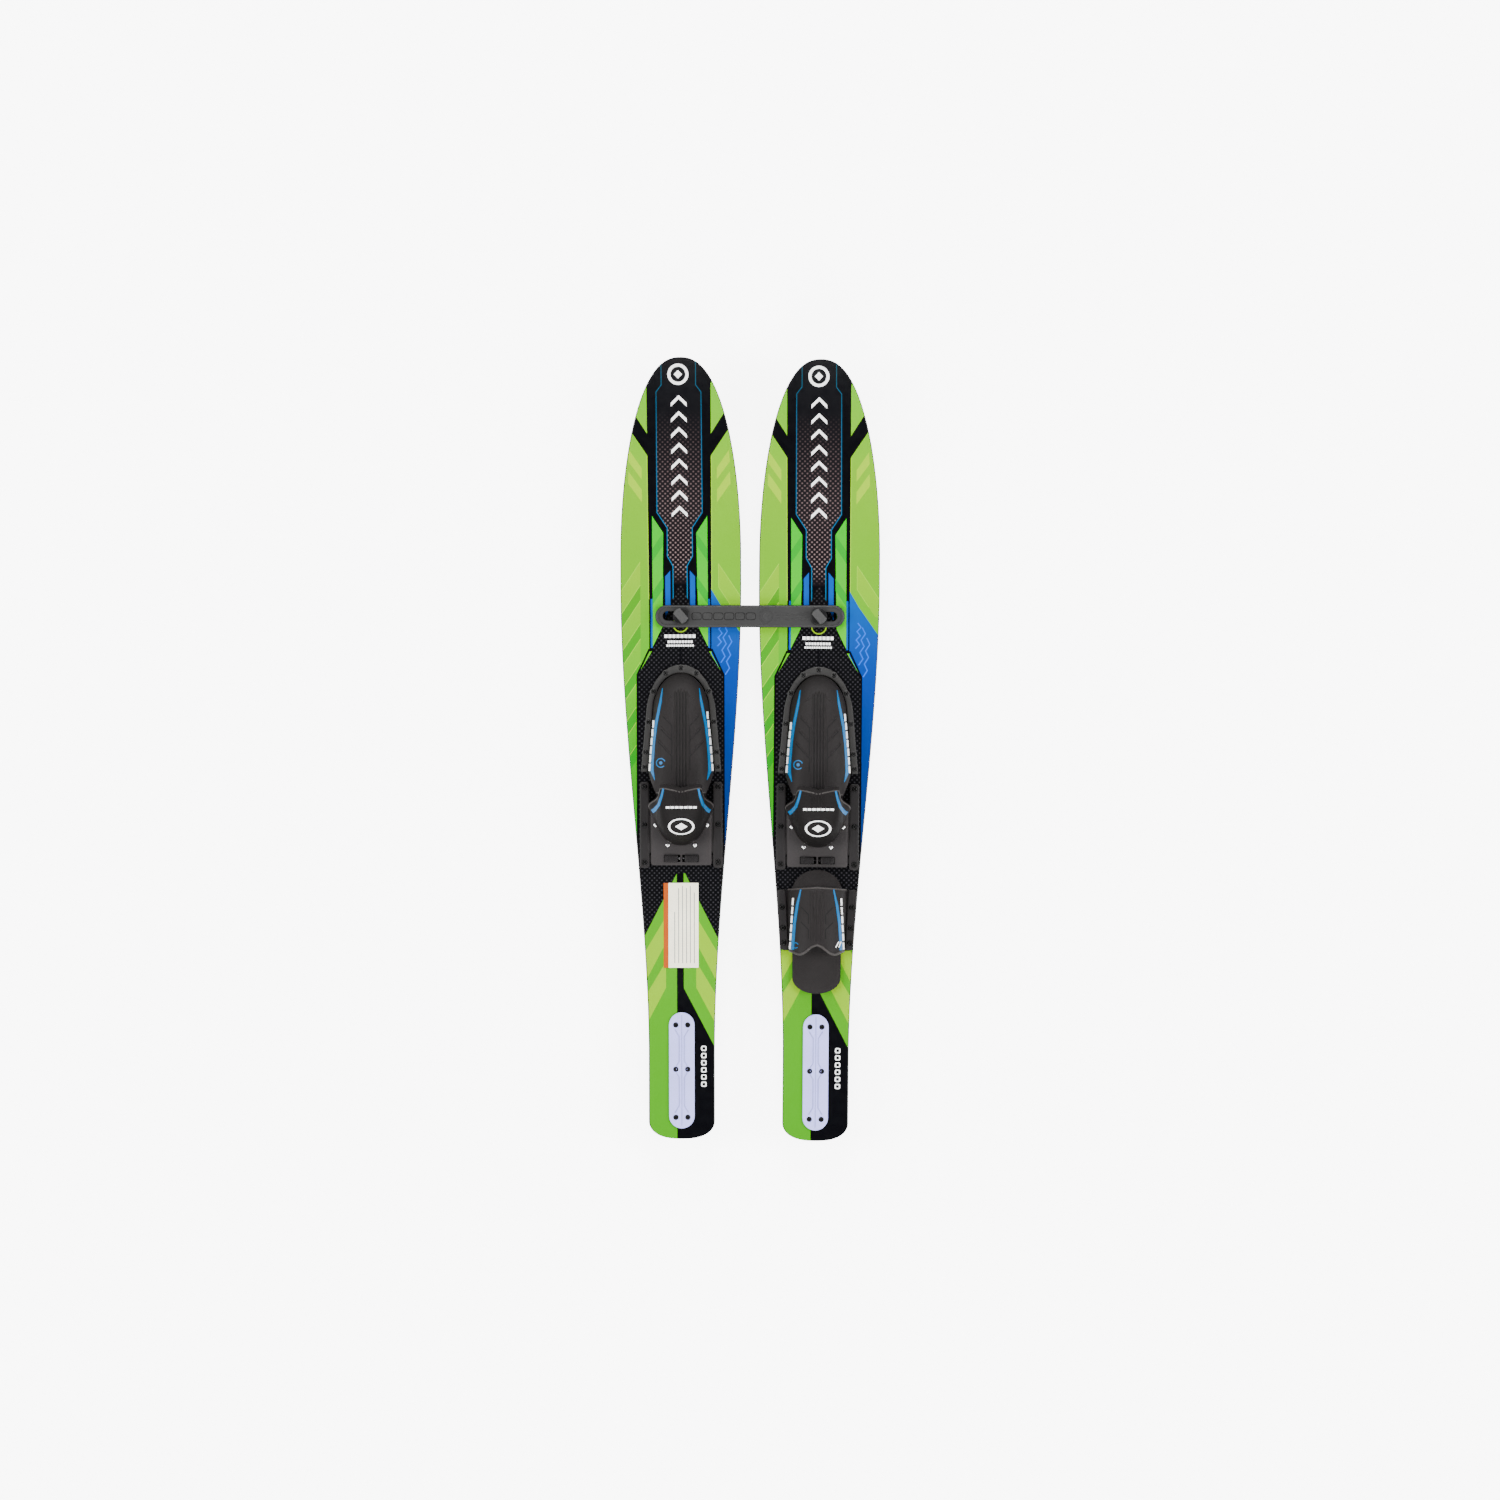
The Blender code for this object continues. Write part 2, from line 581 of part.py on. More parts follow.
def build_rear_toe(frame, label):
    rings = [strap_section(t) for t in np.linspace(0, 1, 9)]
    strap = solid(f"{label}_rear_toe_strap", *lofted(rings), frame)
    holes = [moved(slab(circle(0, 0, 2.9, 10), -3, 5), s * x, y)
             for s in (-1, 1) for x, y in rear_screws()]
    combine(strap, join(holes), frame, "DIFFERENCE")
    front = [(44 * math.cos(math.radians(a)), -482 + 40 * math.sin(math.radians(a)))
             for a in range(0, 181, 15)]
    rear = [(-42.3 * math.cos(math.radians(a)), -632 - 28 * math.sin(math.radians(a)))
            for a in range(0, 181, 15)]
    ring = front + rear
    inset = [(0.965 * x, -551 + 0.985 * (y + 551)) for x, y in ring]
    solid(f"{label}_rear_toe_pad", *lofted([at(ring, GAP), at(ring, 5.2), at(inset, 6.5)]), frame)


# ---- trainer bar and knobs ----------------------------------------------------------------
def build_bar():
    r, x = BAR_WIDTH / 2, (BAR_LENGTH - BAR_WIDTH) / 2
    low, high = GAP, GAP + BAR_THICK
    rings = [at(stadium(-x, x, 0, r - 1), low), at(stadium(-x, x, 0, r), low + 1),
             at(stadium(-x, x, 0, r), high - 3), at(stadium(-x, x, 0, r - 1.0), high - 1.0),
             at(stadium(-x, x, 0, r - 3), high)]
    bar = solid("trainer_bar", *lofted(rings), BAR_FRAME)
    slots = []
    for side in (-1, 1):
        ends = sorted((side * (SLOT_OUTER - SLOT_HALF), side * (SLOT_INNER + SLOT_HALF)))
        y = side * -RIGHT_DROP / 2
        slots.append(slab(stadium(*ends, y, SLOT_HALF), -3, high + 4))
    combine(bar, join(slots), BAR_FRAME, "DIFFERENCE")


def grip_band(r, half, n=5):
    """A band across the middle of a disc: straight sides, and ends that follow the disc."""
    a = math.asin(half / r)
    arc = [(r * math.cos(t), r * math.sin(t)) for t in np.linspace(-a, a, n)]
    return arc + [(-x, -y) for x, y in arc]


def build_knob(side, label):
    """Threaded insert in the ski, sleeve in the bar's slot, washer and hand knob with its stud."""
    frame, top = knob_frame(side), GAP + BAR_THICK
    solid(f"{label}_threaded_insert", *tube(9.0, 4.4, -14.5, -GAP, 16), frame)
    solid(f"{label}_pivot_bush", *tube(8.0, 4.5, GAP + 0.1, top - 0.4, 16), frame)
    solid(f"{label}_washer", *tube(12.5, 4.6, top + GAP, top + 1.8, 24), frame)
    z = top + 2.1
    profile = [(0, -12), (3, -12), (4, -11), (4, z), (13.2, z), (14, z + 0.8), (14, z + 4.6),
               (13.2, z + 5.4), (0, z + 5.4)]
    knob = solid(f"{label}_knob", *lathe(profile, 24), frame)
    (x, y, h), yaw = frame
    grip_frame = ((x, y, h), yaw + math.radians(-50))
    foot, crest = grip_band(13.6, 7.5), grip_band(12.5, 6.4)
    grip = lofted([at(foot, z + 3), at(foot, z + 13), at(crest, z + 14.5)])
    combine(knob, grip, grip_frame, "UNION")


# ---- assembly -----------------------------------------------------------------------------
for old in list(bpy.data.objects):
    bpy.data.objects.remove(old, do_unlink=True)

build_bar()
for side, label in ((-1, "left"), (1, "right")):
    ski = ski_frame(side)
    build_ski(side, label)
    build_fin(ski, label)
    build_toe_frame(ski, label)
    build_toe_piece(ski, label)
    build_toe_pad(ski, label)
    build_heel_plate(ski, label)
    build_heel_piece(ski, label)
    build_heel_pad(ski, label)
    build_spring(ski, label)
    for s, tag in ((-1, "a"), (1, "b")):
        build_rail(ski, f"{label}_rail_{tag}", s)
        build_latch(ski, f"{label}_latch_button_{tag}", s)
        for k, y in enumerate(RAIL_SCREW_Y, 1):
            build_screw(ski, f"{label}_rail_screw_{tag}{k}", s * RAIL_SCREW_X, y, RAIL_TOP)
    build_knob(side, label)

right = ski_frame(1)
build_rear_toe(right, "right")
for s, tag in ((-1, "a"), (1, "b")):
    build_rear_rail(right, f"right_rear_rail_{tag}", s)
    for k, (x, y) in enumerate(rear_screws(), 1):
        build_screw(right, f"right_rear_rail_screw_{tag}{k}", s * x, y, 10.0)
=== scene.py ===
"""The finished look of a pair of combination water skis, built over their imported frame.

Each ski is dressed in its own frame: x across, y towards the tip, z up, origin on the deck at the
axis of its trainer-bar knob, in millimetres. Piece scales to metres and puts the result in place.
"""

import math

import bmesh
import bpy
import numpy as np
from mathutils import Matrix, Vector
from mathutils.bvhtree import BVHTree
from mathutils.geometry import delaunay_2d_cdt


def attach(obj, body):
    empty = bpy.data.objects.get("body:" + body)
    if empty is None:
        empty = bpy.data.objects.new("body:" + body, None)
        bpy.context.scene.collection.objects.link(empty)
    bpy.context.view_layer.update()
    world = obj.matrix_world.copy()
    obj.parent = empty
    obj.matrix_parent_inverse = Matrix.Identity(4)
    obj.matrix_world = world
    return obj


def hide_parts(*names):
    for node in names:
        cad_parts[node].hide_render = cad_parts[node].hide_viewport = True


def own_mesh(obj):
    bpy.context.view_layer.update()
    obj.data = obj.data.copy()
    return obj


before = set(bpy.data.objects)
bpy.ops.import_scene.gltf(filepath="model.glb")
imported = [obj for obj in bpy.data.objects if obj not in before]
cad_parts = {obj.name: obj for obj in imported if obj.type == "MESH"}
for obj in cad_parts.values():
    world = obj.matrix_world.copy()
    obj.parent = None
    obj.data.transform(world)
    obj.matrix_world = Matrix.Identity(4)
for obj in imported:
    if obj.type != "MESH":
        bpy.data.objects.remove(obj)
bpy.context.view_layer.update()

MM = 0.001
GAP = 0.3  # clearance that the frame keeps between pieces

# ---- the frame's driving dimensions --------------------------------------------------------
DECK_HEIGHT = 67.0
KNOB_HALF_SPACING, KNOB_Y, RIGHT_DROP, RIGHT_SHIFT = 121.5, 235.4, 1.2, -2.5
YAW = {-1: math.radians(0.12), 1: math.radians(-0.45)}
SKI_LENGTH, TIP_ZONE, TAIL_ARC, TIP_Y = 1372.0, 351.0, 31.0, 453.0
TAPER_START, TAPER_END = 395.0, 1230.0
HALF_WIDTH, TAIL_HALF_WIDTH = 106.3, 58.0
THICK, TIP_THICK, TAIL_THICK = 22.0, 10.0, 14.0
TAIL_Y = TIP_Y - SKI_LENGTH
SIDES = ((-1, "a"), (1, "b"))
RAIL_IN, RAIL_OUT, RAIL_REAR, RAIL_FRONT, RAIL_TOP = 56.0, 72.6, -442.4, -291.3, 11.5
RAIL_SCREWS = [(64.5, y) for y in (-299.7, -366.2, -432.4)]
TOE_APEX, TOE_SIDE_END, TOE_TOP_END, TOE_HEIGHT, RUBBER = -101.0, -272.0, -312.0, 66.0, 4.0
TOE_FRAME_LOW, TOE_FRAME_TOP, TOE_FRAME_END = 2.1, 6.1, -273.4
PLATE_HALF, PLATE_REAR, PLATE_FRONT, PLATE_TOP, TONGUE_REACH = 53.3, -437.8, -328.0, 9.0, 60.3
LATCH_REAR, LATCH_FRONT, SPRING_HEIGHT = -431.5, -420.0, 3.6
LATCH_Y = (LATCH_REAR + LATCH_FRONT) / 2
FIN_FRONT, FIN_REAR, FIN_HALF = -696.5, -900.6, 22.5
FIN_DECK = TAIL_THICK - THICK
BAR_LENGTH, BAR_WIDTH, BAR_THICK = 333.0, 39.0, 12.0
SLOT_OUTER, SLOT_INNER, SLOT_HALF = 153.4, 113.0, 8.5

# How far printed marks and the painted shade of grooves stand off the rubber they lie on.
STRIPE_LIFT, MARK_LIFT, GROOVE_SHADE_LIFT = 0.4, 0.55, 0.15


def smoothstep(t):
    t = min(max(t, 0.0), 1.0)
    return t * t * (3 - 2 * t)


def knob_frame(side):
    x, y = side * KNOB_HALF_SPACING, KNOB_Y - (RIGHT_DROP if side > 0 else 0)
    return (x, y, DECK_HEIGHT), YAW[side]


def ski_frame(side):
    (x, y, z), yaw = knob_frame(side)
    shift = RIGHT_SHIFT if side > 0 else 0.0
    return (x - shift * math.sin(yaw), y + shift * math.cos(yaw), z), yaw


BAR_FRAME = ((0.0, KNOB_Y - RIGHT_DROP / 2, DECK_HEIGHT), 0.0)


# ---- materials -----------------------------------------------------------------------------
class Look:
    """A procedural material, with short helpers that add a node and join it up."""

    def __init__(self, name, coat=0.0, metal=0.0, specular=0.3):
        self.material = bpy.data.materials.new(name)
        self.material.use_nodes = True
        self.tree = self.material.node_tree
        self.shader = self.tree.nodes["Principled BSDF"]
        self.shader.inputs["Coat Weight"].default_value = coat
        self.shader.inputs["Coat Roughness"].default_value = 0.15
        self.shader.inputs["Metallic"].default_value = metal
        self.shader.inputs["Specular IOR Level"].default_value = specular
        where = self.add("ShaderNodeTexCoord").outputs["Object"]
        self.place = self.scaled(where, 1 / MM)
        split = self.add("ShaderNodeSeparateXYZ")
        self.join(split.inputs[0], self.place)
        self.x, self.y, self.z = split.outputs

    def add(self, kind, **settings):
        node = self.tree.nodes.new(kind)
        for key, value in settings.items():
            setattr(node, key, value)
        return node

    def join(self, socket, value):
        if isinstance(value, bpy.types.NodeSocket):
            self.tree.links.new(socket, value)
        else:
            socket.default_value = value

    def wire(self, kind, inputs, output=0, **settings):
        """Adds a node, fills its inputs by number or name, and gives one of its outputs."""
        node = self.add(kind, **settings)
        for key, value in inputs.items():
            self.join(node.inputs[key], value)
        return node.outputs[output]

    def math(self, operation, *values):
        return self.wire("ShaderNodeMath", dict(enumerate(values)), operation=operation)

    def ramp(self, *values):
        """A value mapped from low..high to start..end (0 to 1 unless given), and held there."""
        return self.wire("ShaderNodeMapRange", dict(enumerate(values)), clamp=True)

    def mix(self, share, a, b):
        return self.wire("ShaderNodeMix", {0: share, 6: a, 7: b}, 2, data_type="RGBA")

    def scaled(self, vector, factor):
        inputs = {0: vector, "Scale": factor}
        return self.wire("ShaderNodeVectorMath", inputs, operation="SCALE")

    def noise(self, size, detail=3.0):
        """Noise whose features are about size millimetres across."""
        inputs = {"Vector": self.place, "Scale": 1 / size, "Detail": detail}
        return self.wire("ShaderNodeTexNoise", inputs, "Fac")

    def colour(self, value, grain=1.6, vary=0.07):
        """Sets the colour, a little lighter and darker from place to place."""
        shade = self.math("ADD", self.ramp(self.noise(grain), 0.3, 0.7, -vary, vary),
                          self.ramp(self.noise(40.0), 0.3, 0.7, 1 - vary / 2, 1 + vary / 2))
        self.join(self.shader.inputs["Base Color"], self.scaled(value, shade))

    def rough(self, value, vary=0.06, size=3.0):
        self.join(self.shader.inputs["Roughness"],
                  self.ramp(self.noise(size), 0.3, 0.7, value - vary, value + vary))

    def bump(self, height, strength=0.3, distance=0.2):
        inputs = {"Strength": strength, "Distance": distance * MM, "Height": height}
        self.join(self.shader.inputs["Normal"], self.wire("ShaderNodeBump", inputs))

    def along(self, stops):
        """A colour that runs along the ski through (y, rgb) stops, from the tail forwards."""
        low, high = stops[0][0], stops[-1][0]
        node = self.add("ShaderNodeValToRGB")
        self.join(node.inputs[0], self.ramp(self.y, low, high))
        band = node.color_ramp
        while len(band.elements) < len(stops):
            band.elements.new(0.5)
        for element, (y, rgb) in zip(band.elements, stops):
            element.position, element.color = (y - low) / (high - low), (*rgb, 1)
        return node.outputs[0]

    def lattice(self, pitch_x, pitch_y, low, high, skew=0.0):
        """1 on the dots of a staggered lattice and 0 between them."""
        across = self.math("MULTIPLY_ADD", self.y, skew, self.x)
        a = self.math("COSINE", self.math("MULTIPLY", across, 2 * math.pi / pitch_x))
        b = self.math("COSINE", self.math("MULTIPLY", self.y, 2 * math.pi / pitch_y))
        return self.ramp(self.math("MULTIPLY", a, b), low, high)


def moulded(name, rgb, rough=0.5, grain=1.2, depth=0.25, **settings):
    """Moulded rubber or plastic with a fine grain."""
    look = Look(name, **{"specular": 0.16, **settings})
    look.colour(rgb, grain, 0.09)
    look.rough(rough)
    look.bump(look.noise(grain), depth)
    return look.material


def printed(name, *stops, gloss=0.32):
    """Ink under the topsheet's clear gloss: one colour, or several along the ski."""
    look = Look(name, coat=0.1, specular=0.1)
    look.colour(look.along(stops) if len(stops) > 1 else stops[0], 2.2, 0.03)
    look.rough(gloss, 0.04, 12.0)
    look.bump(look.noise(0.9), 0.06, 0.1)
    return look.material


def carbon_print():
    look = Look("carbon_print", coat=0.1, specular=0.1)
    cloth = look.lattice(8.6, 8.6, 0.25, 0.7)
    look.colour(look.mix(cloth, (0.0005, 0.0005, 0.001, 1), (0.022, 0.022, 0.025, 1)), 3.0, 0.05)
    look.rough(0.34, 0.04, 12.0)
    look.bump(cloth, 0.1, 0.1)
    return look.material


def honeycomb_print():
    look = Look("honeycomb_print", coat=0.1, specular=0.1)
    dots = look.lattice(9.0, 8.6, 0.15, 0.75)
    fade = look.math("MULTIPLY", look.ramp(look.y, 360, 105), look.ramp(look.y, 58, 84))
    share = look.math("MULTIPLY", dots, fade)
    ground = look.along([(60, (0.003, 0.002, 0.003)), (200, (0.006, 0.005, 0.006)),
                         (400, (0.001, 0.001, 0.002))])
    look.colour(look.mix(share, ground, (0.13, 0.09, 0.09, 1)), 3.0, 0.05)
    look.rough(0.34, 0.04, 12.0)
    return look.material


def woven_foam(name, rgb):
    """Foam with a fine woven texture pressed into its top."""
    look = Look(name, specular=0.1)
    weave = look.lattice(2.6, 2.6, -0.5, 0.5)
    # The colour follows the weave's height: painted shade in its hollows, lighter on its raised threads.
    look.colour(look.mix(weave, (*[0.8 * c for c in rgb], 1), (*[1.5 * c for c in rgb], 1)), 1.0, 0.1)
    look.rough(0.8)
    look.bump(weave, 0.5, 0.3)
    return look.material


# Colours are linear reflectances. An ink has one colour, or (y, colour) stops along the ski.
PRINTS = {
    "lime": ((-450, (0.002, 0.265, 0.005)), (-100, (0.047, 0.29, 0.002)), (60, (0.100, 0.30, 0.002)),
             (250, (0.126, 0.32, 0.003)), (440, (0.090, 0.35, 0.003))),
    "chevron": ((0.235, 0.42, 0.001),),
    "patch": ((-260, (0.018, 0.29, 0.002)), (90, (0.165, 0.35, 0.001))),
    "stripe": ((-260, (0.001, 0.222, 0.004)), (90, (0.055, 0.22, 0.002))),
    "edge_line": ((0.22, 0.45, 0.01),),
    "inner_green": ((-52, (0.048, 0.38, 0.003)), (176, (0.006, 0.34, 0.003))),
    "inner_dark": ((0.003, 0.26, 0.008),),
    "blue": ((-440, (0.001, 0.020, 0.119)), (-100, (0.001, 0.028, 0.201)), (60, (0.002, 0.066, 0.298))),
    "inner_blue": ((0.001, 0.054, 0.28),),
    "teal": ((21, (0.003, 0.10, 0.22)), (330, (0.005, 0.056, 0.12)), (445, (0.005, 0.038, 0.055))),
    "lavender": ((0.005, 0.094, 0.60),),
    "white": ((0.93, 0.93, 0.93),),
    "tail": ((-919, (0.038, 0.225, 0.002)), (-560, (0.053, 0.25, 0.002))),
    "tail_band": ((0.18, 0.36, 0.0005),),
    "ring": ((0.18, 0.33, 0.002),),
}
INK = {name: printed(f"{name}_ink", *stops) for name, stops in PRINTS.items()}
INK["black"] = printed("black_ink", (0.001, 0.001, 0.0018), gloss=0.3)
INK["carbon"] = carbon_print()
INK["honeycomb"] = honeycomb_print()
SIDEWALL = moulded("sidewall", (0.003, 0.003, 0.003), 0.35, 2.0, 0.1)
BASE = printed("base_ink", (-919, (0.010, 0.011, 0.014)), (453, (0.016, 0.017, 0.020)))
TOE_RUBBER = moulded("toe_rubber", (0.0125, 0.0112, 0.0113), 0.55, specular=0.08)
HEEL_RUBBER = moulded("heel_rubber", (0.0075, 0.0066, 0.0066), 0.55, specular=0.06)
# Lighter rubber for the rolled rims: a painted highlight along the edges.
RIM_HIGHLIGHT_RUBBER = moulded("rim_painted_highlight", (0.032, 0.029, 0.028), 0.45)
# Near-black strips laid on the rubber along its grooves: painted shade in the grooves.
GROOVE_SHADE = moulded("groove_shade_paint", (0.003, 0.003, 0.003), 0.7)
BLUE_PRINT = moulded("blue_print", (0.0003, 0.10, 0.27), 0.4, 2.0, 0.1)
WHITE_PRINT = moulded("white_print", (0.92, 0.92, 0.92), 0.45, 2.0, 0.1)
FRAME_PLASTIC = moulded("frame_plastic", (0.025, 0.0245, 0.024), 0.42)
RAIL_PLASTIC = moulded("rail_plastic", (0.0105, 0.0095, 0.0098), 0.5)
PLATE_PLASTIC = moulded("plate_plastic", (0.025, 0.0225, 0.023), 0.5)
BUTTON_PLASTIC = moulded("button_plastic", (0.010, 0.009, 0.0095), 0.45)
BAR_PLASTIC = moulded("bar_plastic", (0.0245, 0.0245, 0.0245), 0.45)
# Near-black for the rings round the bar's raised blocks: painted shadow at their feet.
BAR_SHADE = moulded("bar_shade", (0.004, 0.004, 0.004), 0.6, specular=0.05)
KNOB_PLASTIC = moulded("knob_plastic", (0.0065, 0.0065, 0.007), 0.45, specular=0.1)
GRIP_PLASTIC = moulded("grip_plastic", (0.040, 0.040, 0.040), 0.45)
BUSH_PLASTIC = moulded("bush_plastic", (0.005, 0.005, 0.005), 0.4)
FIN_PLASTIC = moulded("fin_plastic", (0.41, 0.42, 0.86), 0.35, 1.5, 0.1)
# Darker lavender for the raised beads on the fin plate: painted shade along the emboss.
FIN_BEAD_SHADE = moulded("fin_bead_shade", (0.28, 0.29, 0.62), 0.35, 1.5, 0.1)
SCREW_BLACK = moulded("screw_black", (0.002, 0.002, 0.002), 0.35, 0.8, 0.1)
STEEL = moulded("steel", (0.8, 0.8, 0.8), 0.3, 0.8, 0.1, metal=1.0)
BRASS = moulded("brass", (0.55, 0.34, 0.11), 0.3, 0.8, 0.1, metal=1.0)
FOAM = woven_foam("footbed_foam", (0.009, 0.008, 0.008))
REAR_FOAM = woven_foam("rear_pad_foam", (0.014, 0.0125, 0.0125))
LABEL = moulded("label_paper", (0.93, 0.88, 0.70), 0.5, 2.0, 0.05)
LABEL_BAND = moulded("label_band", (0.336, 0.057, 0.002), 0.5, 2.0, 0.05)
LABEL_GREY = moulded("label_grey", (0.12, 0.12, 0.125), 0.5, 2.0, 0.05)


# ---- plane outlines ------------------------------------------------------------------------
def mirror(points):
    return [(-x, y) for x, y in points]


def circle(x, y, r, n=24, squash=1.0):
    angles = np.linspace(0, 2 * math.pi, n, endpoint=False)
    return [(x + r * math.cos(a), y + squash * r * math.sin(a)) for a in angles]


def arc(x, y, r, start, end, n=24):
    return [(x + r * math.cos(math.radians(a)), y + r * math.sin(math.radians(a)))
            for a in np.linspace(start, end, n)]


def block(x0, x1, y0, y1, r=0.0, n=4):
    """A rectangle, with rounded corners where r is more than 0."""
    if r <= 0:
        return [(x0, y0), (x1, y0), (x1, y1), (x0, y1)]
    corners = ((x1 - r, y0 + r, 270), (x1 - r, y1 - r, 0), (x0 + r, y1 - r, 90), (x0 + r, y0 + r, 180))
    return [p for x, y, a in corners for p in arc(x, y, r, a, a + 90, n)]


def side_block(side, near, far, y0, y1, r=0.0, n=4):
    """A block from near to far of the centre line, on the side asked for."""
    return block(*sorted((side * near, side * far)), y0, y1, r, n)


def stadium(x0, x1, y, r, n=16):
    return arc(x1, y, r, -90, 90, n) + arc(x0, y, r, 90, 270, n)


def swap(outline):
    return [(y, x) for x, y in outline[::-1]]


def sided(side, points):
    """Points given for the +x side, on the side asked for."""
    return [(side * x, *rest) for x, *rest in points]


def unit(vectors):
    """The vectors, each made one long."""
    return vectors / np.maximum(np.linalg.norm(vectors, axis=-1, keepdims=True), 1e-9)


def strip(path, width=None):
    """Outline of a ribbon along (x, y) points of one width, or along (x, y, width) points."""
    pts = np.array([(*p, width) if width else p for p in path], float)
    runs = unit(np.diff(pts[:, :2], axis=0))
    mean = unit(np.vstack([runs[:1], runs[:-1] + runs[1:], runs[-1:]]))
    across = np.stack([-mean[:, 1], mean[:, 0]], 1)
    stretch = np.ones(len(pts))
    stretch[1:-1] = 1 / np.maximum((mean[1:-1] * runs[1:]).sum(1), 0.5)
    off = across * (pts[:, 2] * stretch / 2)[:, None]
    return [tuple(p) for p in pts[:, :2] + off] + [tuple(p) for p in (pts[:, :2] - off)[::-1]]


def anticlockwise(points):
    area = sum(a[0] * b[1] - b[0] * a[1] for a, b in zip(points, points[1:] + points[:1]))
    return points if area > 0 else points[::-1]


def refined(outline, step):
    """The outline with its long edges cut into short ones, so that it can follow a curve."""
    points = []
    for (x0, y0), (x1, y1) in zip(outline, outline[1:] + outline[:1]):
        n = max(math.ceil(math.hypot(x1 - x0, y1 - y0) / step), 1)
        points += [(x0 + (x1 - x0) * k / n, y0 + (y1 - y0) * k / n) for k in range(n)]
    return points


def inset(outline, depth):
    """The outline moved inwards by depth along its own normals."""
    p = np.array(anticlockwise(list(outline)), float)
    before, after = unit(p - np.roll(p, 1, 0)), unit(np.roll(p, -1, 0) - p)
    mean = unit(before + after)
    normal = np.stack([-mean[:, 1], mean[:, 0]], 1)
    stretch = 1 / np.maximum((mean * after).sum(1), 0.6)
    return [tuple(q) for q in p + normal * (depth * stretch)[:, None]]


# ---- solids --------------------------------------------------------------------------------
def at(outline, z):
    return [(x, y, z) for x, y in outline]


def loft(rings, loop=False):
    """Faces through rings of equal point count: capped at both ends, or closed on themselves."""
    n, count = len(rings[0]), len(rings)
    faces = []
    for k in range(count if loop else count - 1):
        a, b = k * n, (k + 1) % count * n
        faces += [[a + i, a + (i + 1) % n, b + (i + 1) % n, b + i] for i in range(n)]
    if not loop:
        faces += [list(range(n))[::-1], list(range((count - 1) * n, count * n))]
    return [p for ring in rings for p in ring], faces


def puck(outline, low, high, round_top, foot=0.0, steps=4):
    """A flat solid with a rounded top edge, and a small chamfer at its foot."""
    outline = anticlockwise(list(outline))
    rings = [at(inset(outline, foot), low)] if foot else []
    rings += [at(outline, low + foot), at(outline, high - round_top)]
    for k in range(1, steps + 1):
        a = math.pi / 2 * k / steps
        rings.append(at(inset(outline, round_top * (1 - math.cos(a))),
                        high - round_top * (1 - math.sin(a))))
    return loft(rings)


def lathe(profile, n=24, x=0.0, y=0.0):
    """A solid of revolution from (radius, z) points that start and end on the axis."""
    verts = [(x, y, profile[0][1])]
    for r, z in profile[1:-1]:
        verts += at(circle(x, y, r, n), z)
    verts.append((x, y, profile[-1][1]))
    faces, last = [], len(verts) - 1
    for i in range(n):
        j = (i + 1) % n
        faces.append([0, 1 + j, 1 + i])
        for k in range(len(profile) - 3):
            a, b = 1 + k * n, 1 + (k + 1) * n
            faces.append([a + i, a + j, b + j, b + i])
        faces.append([last, last - n + i, last - n + j])
    return verts, faces


def bead(path, r, n=10, closed=False):
    """A round bead along a line in space."""
    p = np.array(path, float)
    d = unit(np.roll(p, -1, 0) - np.roll(p, 1, 0)) if closed else unit(np.gradient(p, axis=0))
    side = unit(np.cross(d, (0.13, 0.07, 1.0)))
    up = np.cross(side, d)
    rings = [[tuple(p[k] + r * (math.cos(a) * side[k] + math.sin(a) * up[k]))
              for a in np.linspace(0, 2 * math.pi, n, endpoint=False)] for k in range(len(p))]
    return loft(rings, closed)


def shell(outer, inner, closed_front=True):
    """Close two matching grids into one shell, with flat walls at the front if it is closed."""
    rows, cols = len(outer), len(outer[0])
    verts = [p for row in outer for p in row] + [p for row in inner for p in row]
    shift, faces = rows * cols, []
    for i in range(rows - 1):
        for j in range(cols - 1):
            a, b = i * cols + j, (i + 1) * cols + j
            faces += [[a, a + 1, b + 1, b], [a + shift, b + shift, b + 1 + shift, a + 1 + shift]]
        for j in (0, cols - 1):
            a, b = i * cols + j, (i + 1) * cols + j
            faces.append([a, b, b + shift, a + shift])
    for i in (rows - 1,) if closed_front else (0, rows - 1):
        faces += [[i * cols + j, i * cols + j + 1, i * cols + j + 1 + shift, i * cols + j + shift]
                  for j in range(cols - 1)]
    if closed_front:
        faces += [list(range(cols)), list(range(shift, shift + cols)),
                  [0, cols - 1, shift + cols - 1, shift]]
    return verts, faces


def outward(verts, faces):
    """The same solid with every face turned outwards."""
    bm = bmesh.new()
    points = [bm.verts.new(v) for v in verts]
    for f in faces:
        try:
            bm.faces.new([points[i] for i in f])
        except ValueError:  # two corners in one place
            pass
    bm.verts.index_update()
    bmesh.ops.recalc_face_normals(bm, faces=bm.faces)
    out = [tuple(v.co) for v in bm.verts], [[v.index for v in f.verts] for f in bm.faces]
    bm.free()
    return out


def carved(solid, *cutters):
    """The solid with the cutters taken out of it."""
    made = []
    for verts, faces in (solid, *cutters):
        mesh = bpy.data.meshes.new("carving")
        verts, faces = outward(verts, faces)
        mesh.from_pydata(verts, [], faces)
        obj = bpy.data.objects.new("carving", mesh)
        bpy.context.scene.collection.objects.link(obj)
        made.append(obj)
    for tool in made[1:]:
        cut = made[0].modifiers.new("cut", "BOOLEAN")
        cut.operation, cut.solver, cut.object = "DIFFERENCE", "EXACT", tool
    graph = bpy.context.evaluated_depsgraph_get()
    mesh = bpy.data.meshes.new_from_object(made[0].evaluated_get(graph))
    result = [tuple(v.co) for v in mesh.vertices], [list(p.vertices) for p in mesh.polygons]
    for obj in made:
        bpy.data.objects.remove(obj)
    return result


